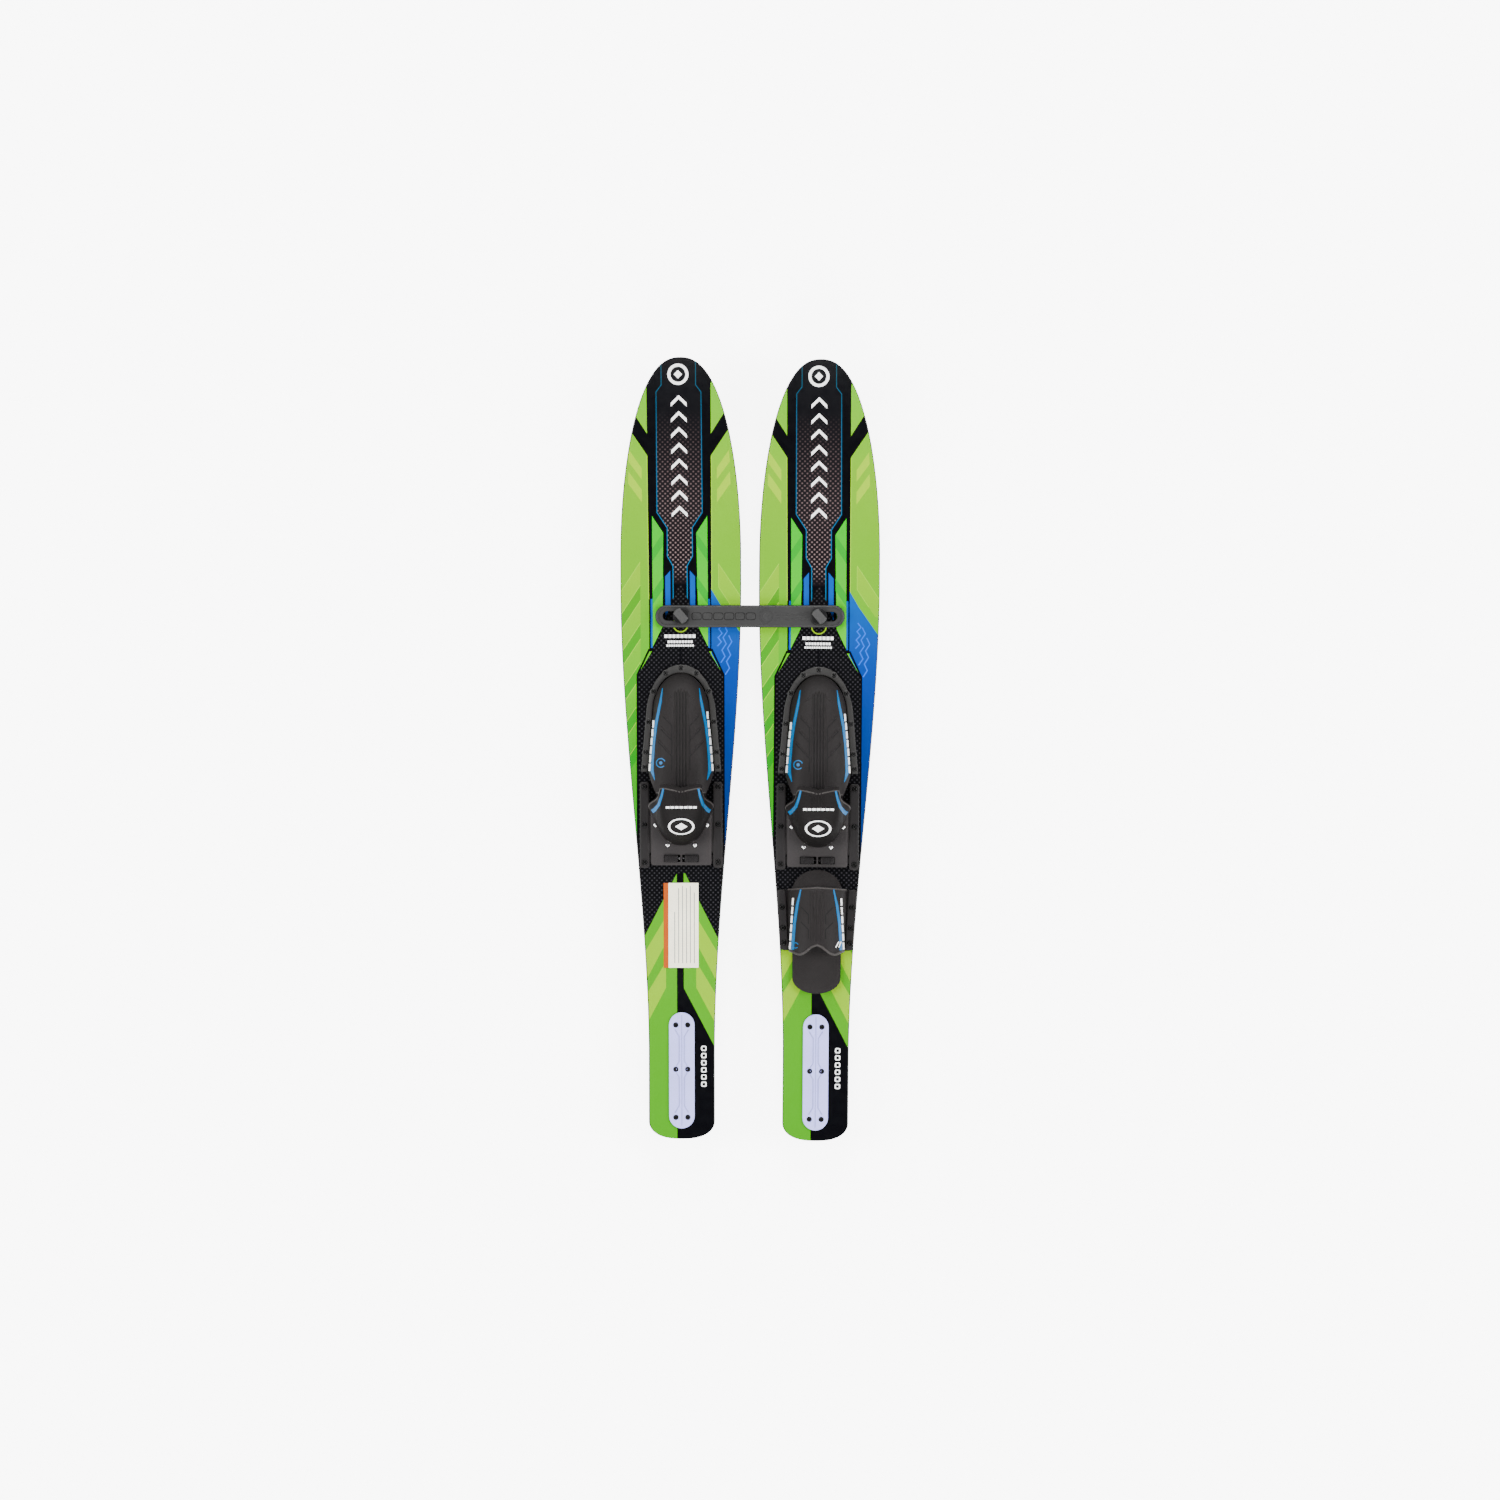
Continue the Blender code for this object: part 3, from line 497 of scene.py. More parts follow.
def fill(outline, layers=(), spots=()):
    """Triangles over a plane outline. Layers are painted in order: returns each one's number."""
    points, faces = [], []
    for polygon in (outline, *layers):
        polygon = anticlockwise(list(polygon))
        faces.append(list(range(len(points), len(points) + len(polygon))))
        points += polygon
    points += list(spots)
    verts, _, tris, _, _, source = delaunay_2d_cdt(
        [Vector(p) for p in points], [], faces, 1, 1e-4, True)
    kept = [(t, max(s)) for t, s in zip(tris, source) if 0 in s]
    used = {i: k for k, i in enumerate(sorted({i for t, _ in kept for i in t}))}
    return [tuple(verts[i]) for i in used], [[used[i] for i in t] for t, _ in kept], [s for _, s in kept]


class Drape:
    """The top of a solid, for laying thin pieces on."""

    def __init__(self, solid):
        self.tree = BVHTree.FromPolygons([Vector(v) for v in solid[0]], solid[1])

    def drop(self, x, y, lift):
        hit, normal, _, _ = self.tree.ray_cast(Vector((x, y, 300)), Vector((0, 0, -1)))
        if hit is None:
            hit, normal, _, _ = self.tree.find_nearest(Vector((x, y, 20)))
        if normal.z < 0:
            normal = -normal
        p = hit + normal * lift
        return p.x, p.y, p.z

    def skin(self, outline, lift, step=1.2):
        """A thin patch that follows the surface inside a plane outline."""
        p = np.array(outline, float)
        low, high = p.min(0), p.max(0)
        spots = [(x, y) for x in np.arange(low[0] + step / 2, high[0], step)
                 for y in np.arange(low[1] + step / 2, high[1], step)]
        verts, tris, _ = fill(refined(list(outline), step), (), spots)
        return [self.drop(x, y, lift) for x, y in verts], tris

    def ridge(self, path, width, height, step=3.0, depth=0.3):
        """A rounded rib along a plane path, tapering away at both ends."""
        p = np.array(path, float)
        lengths = np.r_[0, np.cumsum(np.linalg.norm(np.diff(p, axis=0), axis=1))]
        n = max(int(lengths[-1] / step), 3)
        s = np.linspace(0, lengths[-1], n + 1)
        line = np.stack([np.interp(s, lengths, p[:, k]) for k in (0, 1)], 1)
        run = unit(np.gradient(line, axis=0))
        rings = []
        for k, (x, y) in enumerate(line):
            end = min(1.0, 0.15 + min(s[k], lengths[-1] - s[k]) / 6.0)
            ring = [self.drop(x - run[k][1] * t * width / 2, y + run[k][0] * t * width / 2,
                              h * height * end - (depth if h == 0 else 0))
                    for t, h in ((-1, 0), (-0.6, 0.75), (0, 1), (0.6, 0.75), (1, 0))]
            rings.append(ring)
        return loft(rings)


class Piece:
    """One piece of the object, gathered from solids and surfaces with their materials."""

    def __init__(self, name, place):
        self.name, self.place = name, place
        self.verts, self.faces, self.marks, self.materials = [], [], [], []

    def add(self, solid, material, closed=True):
        """Adds a solid in one material. Pass closed=False for one whose faces are already right."""
        verts, faces = outward(*solid) if closed else solid
        return self.surface(verts, faces, [material] * len(faces))

    def surface(self, verts, faces, materials):
        """Adds faces that each have their own material."""
        for face, material in zip(faces, materials):
            if material not in self.materials:
                self.materials.append(material)
            self.faces.append([i + len(self.verts) for i in face])
            self.marks.append(self.materials.index(material))
        self.verts += list(verts)
        return self

    def lay(self, on, outline, material, lift):
        """Lays a thin patch of a plane outline on the surface of a Drape."""
        return self.add(on.skin(outline, lift), material, False)

    def finish(self, body, *nodes, slot=None, sharp=38):
        mesh = bpy.data.meshes.new(self.name)
        mesh.from_pydata([[c * MM for c in v] for v in self.verts], [], self.faces)
        for material in self.materials:
            mesh.materials.append(material)
        mesh.polygons.foreach_set("material_index", self.marks)
        mesh.polygons.foreach_set("use_smooth", [True] * len(mesh.polygons))
        mesh.update()
        mesh.set_sharp_from_angle(angle=math.radians(sharp))
        obj = bpy.data.objects.new(self.name, mesh)
        bpy.context.scene.collection.objects.link(obj)
        place, yaw = self.place
        obj.location, obj.rotation_euler = [c * MM for c in place], (0, 0, yaw)
        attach(obj, body)
        if nodes:
            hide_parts(*nodes)
        return obj


# ---- ski board and its graphics ------------------------------------------------------------
def half_width(y):
    d = TIP_Y - y
    if d < TIP_ZONE:
        return HALF_WIDTH * max(1 - ((TIP_ZONE - d) / TIP_ZONE) ** 2, 0) ** 0.4255
    taper = smoothstep((d - TAPER_START) / (TAPER_END - TAPER_START))
    w = HALF_WIDTH - (HALF_WIDTH - TAIL_HALF_WIDTH) * taper
    over = d - (SKI_LENGTH - TAIL_ARC)
    return w * max(1 - (over / TAIL_ARC) ** 2, 0) ** 0.38 if over > 0 else w


def base_height(y):
    s = max(y - 100.0, 0) / (TIP_Y - 100.0)
    return -THICK + 62.0 * s * s


def thickness(y):
    if y > 60:
        return THICK + (TIP_THICK - THICK) * smoothstep((y - 60) / (TIP_Y - 60))
    return THICK + (TAIL_THICK - THICK) * smoothstep((-600 - y) / 90)


def deck(y):
    return base_height(y) + thickness(y)


def stations():
    tip = [TIP_ZONE * (1 - math.cos(math.radians(a))) for a in np.linspace(1.2, 90, 44)]
    tail = [SKI_LENGTH - TAIL_ARC * (1 - math.sin(math.radians(a))) for a in np.linspace(0, 88, 14)]
    body = list(np.linspace(TIP_ZONE, SKI_LENGTH - TAIL_ARC, 66)[1:-1])
    return [TIP_Y - d for d in tip + body + tail]


def edge_round(y):
    return min(1.7, 0.2 * half_width(y))


def board_shell():
    """Sidewalls and running surface, open at the top where the topsheet goes."""
    rings = []
    for y in stations():
        w, low, top, e = half_width(y), base_height(y), deck(y), edge_round(y)
        tunnel = 2.5 * smoothstep((60 - y) / 120) * smoothstep((y - TAIL_Y - 20) / 120)
        half = [(w - e, top), (w - 0.35 * e, top - 0.3 * e), (w, top - e), (w, low + 4 * e / 1.7),
                (w, low + 2 * e), (w - e, low + 0.6 * e), (w - 2.4 * e, low), (0.62 * w, low),
                (0.5 * w, low + 0.5 * tunnel), (0.34 * w, low + tunnel), (0.1 * w, low + tunnel)]
        rings.append([(x, y, z) for x, z in half] + [(-x, y, z) for x, z in half[::-1]])
    n, faces, marks = len(rings[0]), [], []
    for k in range(len(rings) - 1):
        for i in range(n - 1):
            faces.append([k * n + i, k * n + i + 1, (k + 1) * n + i + 1, (k + 1) * n + i])
            marks.append(SIDEWALL if min(i, n - 2 - i) < 3 else BASE)
    for k in (0, len(rings) - 1):
        faces.append([k * n + i for i in (range(n) if k == 0 else range(n)[::-1])])
        marks.append(SIDEWALL)
    return [p for ring in rings for p in ring], faces, marks


def lean(points):
    """The print runs a little to the left of the ski's own centre line towards the tip."""
    return [(x - 0.8 - 0.006 * max(y, 0), y) for x, y in points]


def chevron_shapes():
    for k in range(2):
        d = 38.0 * k
        yield "chevron", [(88 + k, 292 - d), (66, 260 - d), (66, 240 - 1.05 * d), (89 + k, 271 - d)]


def tip_shapes():
    """Graphics that both halves of the ski share, on the +x half."""
    yield "black", [(0, 470), (80, 470), (56.3, 407), (54.8, -62), (0, -62)]
    yield "black", [(100, 388), (55.6, 319), (55.6, 281.5), (100, 347)]
    yield from chevron_shapes()
    yield "edge_line", strip([(56.6, 281), (55.4, 30)], 1.3)
    yield "inner_green", [(48.6, 176), (29, 146), (31.5, -19), (48.6, -54)]
    for k in range(2):
        y = 118.0 - 76 * k
        yield "inner_dark", [(48.6, y), (29.5, y + 28), (29.5, y + 6), (48.6, y - 22)]
    yield "inner_blue", [(17.2, 80), (26.3, 69.4), (26.3, -10), (17.2, 10)]
    yield "honeycomb", [(0, 436), (29.2, 436), (29.2, 404), (38.2, 392), (38.7, 182.5), (21, 155.5),
                        (21, 105.5), (11.4, 88), (11.4, 56), (0, 56)]
    yield "teal", strip([(30.2, 450), (30.2, 404.5), (39.4, 392.5), (39.8, 182), (22.1, 155),
                         (22.1, 105), (12.4, 88), (12.4, 21)], 1.6)
    yield "inner_blue", block(49.0, 52.0, -56, 30)


def flank_shapes():
    """Slanting patches down one flank of the ski, on the +x side."""
    for k in range(5):
        top = 95.0 - 67.4 * k
        inner = 70.0 if k < 3 else 78.0
        top -= 1.5 * (inner - 70)
        outer, drop = 108.0, 1.52 * (108 - inner)
        yield "patch", [(inner, top), (outer, top - drop), (outer, top - drop - 40), (inner, top - 41)]
        yield "stripe", [(inner, top - 41), (outer, top - drop - 40), (outer, top - drop - 67.4),
                         (inner, top - 67.4)]
        for y in (top, top - 40.5):
            yield "edge_line", strip([(inner, y), (outer, y - drop)], 1.0)


def carbon_outline():
    right = [(16, 23), (31.6, -19), (49, -60), (74.4, -102.5), (74.4, -440), (90, -441),
             (90, -616.5), (7.2, -452)]
    return [(0, 59)] + right + [(-x, y) for x, y in right[::-1]]


def blue_side():
    return [(54.5, 47), (70.2, 20), (99, -21), (115, -44), (115, -446), (74.4, -446),
            (74.4, -102.5), (54.4, -66)]


def squiggle():
    """A loose zigzag flourish on the blue flank."""
    for x, y, length in ((72, -8, 30), (80, -16, 44), (88, -34, 46)):
        step = length / 4
        path = [(x - 0.22 * k * step * 0.4 + (3.2 if k % 2 else -3.2), y - k * step) for k in range(7)]
        yield "lavender", strip(path, 2.0)


def tail_shapes():
    yield "tail", [(-90, -612.8), (-7.2, -452), (7.2, -452), (90, -616.5), (90, -930), (-90, -930)]
    for s in (-1, 1):
        for y in (-528.0, -607.0):
            yield "tail_band", [(s * 26.5, y), (s * 70, y - 73), (s * 70, y - 128), (s * 26.5, y - 46)]
    yield "black", [(-7.3, -452), (4.7, -452), (4.7, -654), (70, -779), (70, -930), (-7.3, -930)]
    for k in range(6):
        yield "white", block(34.8, 44.2, -764.5 - 12.6 * k, -755.5 - 12.6 * k, 2.4)
        yield "black", block(36.9, 42.1, -762.6 - 12.6 * k, -757.4 - 12.6 * k, 1.2)


def plain_marks():
    """Plain marks where the ski carries its lettering: arrows, a ring and rows of dashes."""
    yield "white", circle(-0.6, 423, 18.4, 40)
    yield "black", circle(-0.6, 423, 13.2, 32)
    yield "white", circle(-0.6, 423, 7.4, 4)
    for k in range(8):
        y = 387.0 - 27.6 * k
        yield "white", [(-13.6, y - 20), (0.2, y - 6.6), (14, y - 20), (14, y - 13.4), (0.2, y),
                        (-13.6, y - 13.4)]
    yield "black", strip([(0, -52), (0, -84)], 3.0)
    yield "ring", circle(0.4, -15, 13.9, 32)
    yield "carbon", circle(0.4, -15, 11.6, 32)
    for y0, y1, half, count in ((-38.3, -32.5, 28, 8), (-47.4, -43, 22.5, 9), (-53.6, -50.2, 24.5, 12)):
        pitch = 2 * half / count
        for k in range(count):
            x = -half + k * pitch
            yield "white", block(x, x + 0.76 * pitch, y0, y1)


def ski_graphics():
    """Every printed shape on one deck, from the bottom layer up."""
    for name, shape in tip_shapes():
        yield name, shape
        yield name, mirror(shape)
    for name, shape in flank_shapes():
        yield name, mirror(shape)
    yield "patch", [(67.6, 92), (112, 25), (112, -2), (98, 4), (87.8, 20), (67.6, 50.5)]
    yield "edge_line", strip([(67.6, 92), (112, 25)], 1.0)
    yield "edge_line", strip([(67.6, 92), (67.6, 50.5), (87.8, 20)], 0.9)
    yield "blue", blue_side()
    yield from squiggle()
    yield "black", strip([(-54.6, -58), (-75.6, -103), (-75.6, -446)], 3.4)
    yield "black", strip([(54.6, -58), (75.6, -103), (75.6, -446)], 3.4)
    yield "carbon", carbon_outline()
    yield from tail_shapes()
    yield from plain_marks()


def topsheet():
    """The printed deck as one surface: points, triangles and each triangle's ink."""
    rim = [(half_width(y) - edge_round(y), y) for y in stations()]
    outline = rim + mirror(rim)[::-1]
    shapes = list(ski_graphics())
    spots = [(x * half_width(y) / 6.5, y) for y in np.arange(64.0, 440, 11) for x in range(-5, 6)]
    spots += [(x * 11.0, y) for y in np.arange(-690.0, -590, 11) for x in range(-5, 6)]
    verts, tris, numbers = fill(outline, [lean(refined(points, 12.0)) for _, points in shapes], spots)
    inks = [INK["lime"]] + [INK[name] for name, _ in shapes]
    return [(x, y, deck(y)) for x, y in verts], tris, [inks[n] for n in numbers]


def build_board(label, place, sheet):
    piece = Piece(f"{label}_board", place).surface(*board_shell()).surface(*sheet)
    piece.finish(f"{label}_ski", f"{label}_ski_board", slot="ski_graphic_laminate")


# ---- toe binding ---------------------------------------------------------------------------
def nose_width(d, full, length, flare):
    if d <= 0:
        return 0.0
    return full * (1 - max(1 - d / length, 0) ** 2) ** 0.468 + flare * d


def nose(apex, end, full, length, flare, n=20):
    """Right half of a rounded nose in plan, from the apex back to the end."""
    depth = apex - end
    ds = [length * (1 - math.cos(math.pi / 2 * i / n)) for i in range(1, n + 1)]
    ds = [d for d in ds if d < depth] + list(np.linspace(length, depth, 12)[1:])
    return [(nose_width(d, full, length, flare), apex - d) for d in ds]


def horseshoe(outer, inner, end):
    out, inn = nose(outer[0], end, *outer[1:]), nose(inner[0], end, *inner[1:])
    ring = [(0, outer[0])] + out + inn[::-1] + [(0, inner[0])]
    return ring + mirror(inn) + mirror(out[::-1])


def hood_point(e, phi, cut):
    w = nose_width(e, 43.8, 60.0, 0.08) - cut
    h = TOE_HEIGHT * math.sqrt(max(1 - max(1 - e / 210, 0) ** 2, 0)) - cut
    s, c = math.sin(phi), math.cos(phi)
    return (math.copysign(w * abs(s) ** (2 / 3), s), TOE_APEX - e, GAP + h * max(c, 0) ** (2 / 3))


def hood_limit(e):
    side, top = TOE_APEX - TOE_SIDE_END, TOE_APEX - TOE_TOP_END
    return math.radians(90 if e <= side else 90 - 52 * ((e - side) / (top - side)) ** 0.6)


def hood_grid(cut, first, n=48):
    depth, side = TOE_APEX - TOE_TOP_END, TOE_APEX - TOE_SIDE_END
    rows = [first + (70 - first) * (1 - math.cos(math.pi / 2 * i / 22)) for i in range(23)]
    rows += list(np.linspace(70, side, 26)[1:])
    rows += [side + (depth - side) * t for t in (0.03, 0.08, 0.16, 0.28, 0.42, 0.58, 0.74, 0.88, 1.0)]
    return [[hood_point(e, hood_limit(e) * math.sin(math.pi / 2 * (2 * j / n - 1)), cut)
             for j in range(n + 1)] for e in rows]


TOE_FRAME_SCREWS = [(0, -91.3)]
for spot in ((27, -100.5), (48.6, -132.5), (57.3, -186), (62.5, -239), (64, -265)):
    TOE_FRAME_SCREWS += sided(-1, [spot]) + [spot]


def screw(x, y, top, r=4.4):
    """A pan head with a cross-drive dimple, over a short shank."""
    return lathe([(0, top - 0.8), (1.5, top - 0.8), (1.9, top - 0.1), (2.6, top + 0.15),
                  (0.86 * r, top - 0.2), (r, top - 0.9), (r, top - 2.3), (2.2, top - 2.3),
                  (2.2, top - 12), (0, top - 13)], 28, x, y)


def build_toe(label, place):
    ski = f"{label}_ski"
    low, top = TOE_FRAME_LOW, TOE_FRAME_TOP
    shoe = horseshoe((-85.5, 53.7, 80.0, 0.09), (-99.6, 45.1, 60.0, 0.08), TOE_FRAME_END)
    piece = Piece(f"{label}_toe_frame_piece", place).add(puck(shoe, low, top, 1.4), FRAME_PLASTIC)
    boss = [(0, top - 0.3), (5.7, top - 0.3), (5.9, top + 0.2), (5.3, top + 0.5), (0, top + 0.5)]
    for x, y in TOE_FRAME_SCREWS:
        piece.add(lathe(boss, 28, x, y), FRAME_PLASTIC)
        piece.add(screw(x, y, top + 1.5, 4.2), SCREW_BLACK)
    piece.finish(ski, f"{label}_toe_frame", slot="frame_plastic")

    hood = shell(hood_grid(0, 0.4), hood_grid(RUBBER, 4.6))
    on = Drape(hood)
    piece = Piece(f"{label}_toe_rubber", place).add(hood, TOE_RUBBER)
    flange = horseshoe((-88.5, 50.5, 77.0, 0.09), (TOE_APEX - 2.5, 41.6, 58.0, 0.08), TOE_SIDE_END + 1)
    piece.add(puck(flange, GAP, 1.8, 0.2), TOE_RUBBER)
    for k in range(5):
        x = 0.5 + 5.3 * (k - 2)
        piece.add(on.ridge([(x, -128 - 2 * abs(k - 2)), (x, -303)], 3.4, 1.2), TOE_RUBBER)
        if k:
            # A dark strip beside each rib: painted shade between the ribs.
            piece.lay(on, strip([(x - 2.65, -134), (x - 2.65, -300)], 1.3), GROOVE_SHADE, GROOVE_SHADE_LIFT)
    for s in (-1, 1):
        stripe = [(32, -127, 1.2), (35.4, -150, 4.2), (43.5, -191, 5.0), (47.3, -221, 5.0),
                  (49.9, -257, 5.2), (50.6, -271, 6.2), (45.7, -288, 0.8)]
        piece.lay(on, strip(sided(s, stripe)), BLUE_PRINT, STRIPE_LIFT)
        for k in range(6 if s < 0 else 7):
            y = -272.0 + 15.2 * k
            x = 55.6 - 0.058 * (y + 282) - 0.0003 * (y + 282) ** 2
            dash = strip([(s * x, y), (s * (x - 0.8), y + 12.6)], 3.2)
            piece.lay(on, dash, WHITE_PRINT, MARK_LIFT)
        for k, (y, reach) in enumerate(((-193, 31.5), (-219, 35), (-246.5, 40))):
            path = sided(s, [(16, y - 24), (15.5, y), (reach, y + 1.05 * (reach - 15.5))])
            # A dark strip along each chevron groove: painted shade in the groove.
            piece.lay(on, strip(path, 1.5), GROOVE_SHADE, GROOVE_SHADE_LIFT)
            crest = sided(s, [(18.5, y + 4.5), (reach + 0.5, y + 1.05 * (reach - 14) + 3)])
            piece.add(on.ridge(crest, 3.0, 0.9), TOE_RUBBER)
        piece.add(on.ridge([(s * 13, -139), (s * 26, -149)], 2.4, 0.8), TOE_RUBBER)
    rim = [hood_point(TOE_APEX - TOE_TOP_END - 2.0, math.radians(a), 1.8)
           for a in np.linspace(-37, 37, 31)]
    # The rolled rim in the lighter rubber: painted highlight.
    piece.add(bead(rim, 2.2), RIM_HIGHLIGHT_RUBBER)
    for mark in (strip(arc(-35, -258, 7.6, 20, 320, 20), 1.7), circle(-35, -258, 3.0, 12)):
        piece.lay(on, mark, BLUE_PRINT, MARK_LIFT)
    piece.finish(ski, f"{label}_toe_piece", slot="binding_rubber")

    half = nose(-118.0, -292.0, 35.0, 40.0, 0.03, 12)
    bed = [(0, -118.0)] + half + mirror(half[::-1])
    pad = Piece(f"{label}_toe_pad", place).add(puck(bed, GAP, 7.5, 2.2), FOAM)
    pad.finish(ski, f"{label}_toe_footbed", slot="footbed_foam")


# ---- rails, heel plate and heel cup --------------------------------------------------------
def counterbore(x, y, top):
    return lathe([(0, -3), (2.8, -3), (2.8, top - 2.6), (5.0, top - 2.6), (5.3, top + 2),
                  (0, top + 2)], 28, x, y)


def build_rails(name, place, body, beam, spots, top, *more_cuts):
    """A pair of rails with their screws. Beam gives the solid of the rail on one side."""
    screws = Piece(f"{name}_rail_screws", place)
    for s, tag in SIDES:
        cuts = [cut(s) for cut in more_cuts] + [counterbore(s * x, y, top) for x, y in spots]
        rail = Piece(f"{name}_rail_{tag}_piece", place)
        rail.add(carved(beam(s), *cuts), RAIL_PLASTIC, False)
        rail.finish(body, f"{name}_rail_{tag}", slot="rail_plastic")
        for x, y in spots:
            screws.add(screw(s * x, y, top + 0.2), SCREW_BLACK)
    nodes = [f"{name}_rail_screw_{tag}{k}" for tag in "ab" for k in (1, 2, 3)]
    screws.finish(body, *nodes, slot="black_screw")


def heel_rail(s):
    plan = side_block(s, RAIL_IN, RAIL_OUT, RAIL_REAR, RAIL_FRONT, 4.5, 8)
    return puck(plan, GAP, RAIL_TOP, 1.6)


def heel_rail_groove(s):
    """The groove that the heel plate's tongue slides in."""
    beyond_rear, beyond_front = -450, -280
    plan = side_block(s, RAIL_IN - 6, RAIL_IN + 5, beyond_rear, beyond_front)
    return puck(plan, 2.6, 6.4, 0.1)


CUP_EDGE = [(0, -301.6, 98), (32, -295, 95), (37.5, -303, 86), (41.5, -317, 70),
            (57, -331, 48), (48.5, -350, 24)]
CUP_BULGE = [(0, -400, 86), (30, -394, 84), (46, -378, 72), (50, -366, 56),
             (52, -357, 34), (45, -352, 17)]


def spline(points, t):
    """A smooth curve through points, with t from 0 to 1 over the whole run."""
    p = np.array(points, float)
    p = np.vstack([2 * p[0] - p[1], p, 2 * p[-1] - p[-2]])
    s = min(max(t, 0.0), 1.0) * (len(points) - 1)
    k = min(int(s), len(points) - 2)
    s -= k
    a, b, c, d = p[k:k + 4]
    return 0.5 * (2 * b + (c - a) * s + (2 * a - 5 * b + 4 * c - d) * s * s
                  + (3 * b - a - 3 * c + d) * s ** 3)


def cup_point(s, v):
    """Point on the outside of the heel cup: s from -1 to 1 round it, v from the base up."""
    sign, s = (1 if s >= 0 else -1), abs(s)
    a = min(s / 0.8, 1.0) * math.pi / 2
    past = max(s - 0.8, 0) / 0.2
    base = np.array([38.5 * math.sin(a) + 1.5 * past, -368 - 35 * math.cos(a) + 16 * past,
                     PLATE_TOP + GAP])
    p = (1 - v) ** 2 * base + 2 * v * (1 - v) * spline(CUP_BULGE, s) + v * v * spline(CUP_EDGE, s)
    return np.array([sign * p[0], p[1], p[2]])


def heel_cup(n_round=80, n_up=26):
    grid = np.array([[cup_point(2 * i / n_round - 1, j / n_up) for j in range(n_up + 1)]
                     for i in range(n_round + 1)])
    normal = unit(np.cross(np.gradient(grid, axis=0), np.gradient(grid, axis=1)))
    inner = grid - normal * RUBBER
    inner[..., 2] = np.maximum(inner[..., 2], PLATE_TOP + GAP)
    rim = (grid[:, -2] + inner[:, -2]) / 2
    return shell(grid.tolist(), inner.tolist(), closed_front=False), rim


def build_heel(label, place):
    body = f"{label}_heel_carriage"
    plan = block(-PLATE_HALF, PLATE_HALF, PLATE_REAR, PLATE_FRONT, 4.5, 6)
    plate = puck(plan, 0.5, PLATE_TOP, 1.2)
    rear, front = LATCH_REAR - 0.8, LATCH_FRONT + 0.8
    slots = [puck(side_block(s, 1.5, 30.5, rear, front, 1.2, 3), 5.5, 12, 0.1) for s in (-1, 1)]
    slots.append(puck(block(-60, 60, rear, front), -1, 6.3, 0.1))
    piece = Piece(f"{label}_heel_plate_piece", place)
    piece.add(carved(plate, *slots), PLATE_PLASTIC, False)
    rivet = [(r, PLATE_TOP + h) for r, h in
             ((0, -0.5), (3.4, -0.5), (3.3, 0.4), (2.4, 1.1), (1.2, 1.4), (0, 1.5))]
    for s in (-1, 1):
        tongue = side_block(s, PLATE_HALF - 0.8, TONGUE_REACH, -415.7, -335)
        piece.add(puck(tongue, 3, 6, 0.1), PLATE_PLASTIC)
        for x, y in ((45.3, -367), (23.8, -402.3)):
            piece.add(lathe(rivet, 24, s * x, y), STEEL)
    piece.finish(body, f"{label}_heel_plate", slot="rail_plastic")

    cup, rim = heel_cup()
    on = Drape(cup)
    piece = Piece(f"{label}_heel_rubber", place).add(cup, HEEL_RUBBER)
    # The rolled rim in the lighter rubber: painted highlight.
    piece.add(bead(rim, 2.4), RIM_HIGHLIGHT_RUBBER)
    for k in range(5):
        x = 5.4 * (k - 2)
        piece.add(on.ridge([(x, -306), (x, -331)], 3.2, 1.0), HEEL_RUBBER)
    for s in (-1, 1):
        stripe = [(30.5, -303, 3.0), (33.5, -316, 4.0), (38.5, -331, 5.2), (46, -340, 6.5),
                  (50.5, -343, 7.0)]
        piece.lay(on, strip(sided(s, stripe)), BLUE_PRINT, STRIPE_LIFT)
        piece.add(on.ridge([(s * 10, -314), (s * 27, -311)], 4.0, 0.5), HEEL_RUBBER)
    for k in range(7):
        x = -26.0 + 7.9 * k
        piece.lay(on, block(x, x + 6.2, -337.5, -333.5), WHITE_PRINT, MARK_LIFT)
    for start in (0, 180):
        half = strip(arc(0.5, -369, 21.2, start, start + 180, 20), 3.8)
        oval = [(x, -369 + 0.62 * (y + 369)) for x, y in half]
        piece.lay(on, oval, WHITE_PRINT, MARK_LIFT)
    lozenge = circle(0.5, -369, 11, 4, 6.4 / 11)
    piece.lay(on, lozenge, WHITE_PRINT, MARK_LIFT)
    piece.finish(body, f"{label}_heel_piece", slot="binding_rubber")

    half = [(38, -300), (44, -306), (44, -333), (33, -352), (32, -368)]
    half += arc(0, -368, 32, -20, -80, 6)
    bed = anticlockwise(half + mirror(half[::-1]))
    pad = Piece(f"{label}_heel_pad", place).add(puck(bed, PLATE_TOP + GAP, PLATE_TOP + 4.3, 1.4), FOAM)
    pad.finish(body, f"{label}_heel_footbed", slot="footbed_foam")


def build_latches(label, place):
    rear, front, top = LATCH_REAR, LATCH_FRONT, PLATE_TOP + 3
    for s, tag in SIDES:
        pad = puck(side_block(s, 6, 29, rear, front, 1.5, 4), 1.5, top, 1.0)
        tongue = puck(side_block(s, 28, TONGUE_REACH + 0.1, rear, front), 3.0, 5.7, 0.2)
        piece = Piece(f"{label}_latch_{tag}_piece", place).add(pad, BUTTON_PLASTIC)
        piece.add(tongue, BUTTON_PLASTIC)
        for k in range(4):
            x = s * (11.0 + 4.4 * k)
            rib = puck(block(x - 0.7, x + 0.7, rear + 1.5, front - 1.5), top - 0.4, top + 0.5, 0.3)
            piece.add(rib, BUTTON_PLASTIC)
        piece.finish(f"{label}_latch_{tag}", f"{label}_latch_button_{tag}", slot="button_plastic")


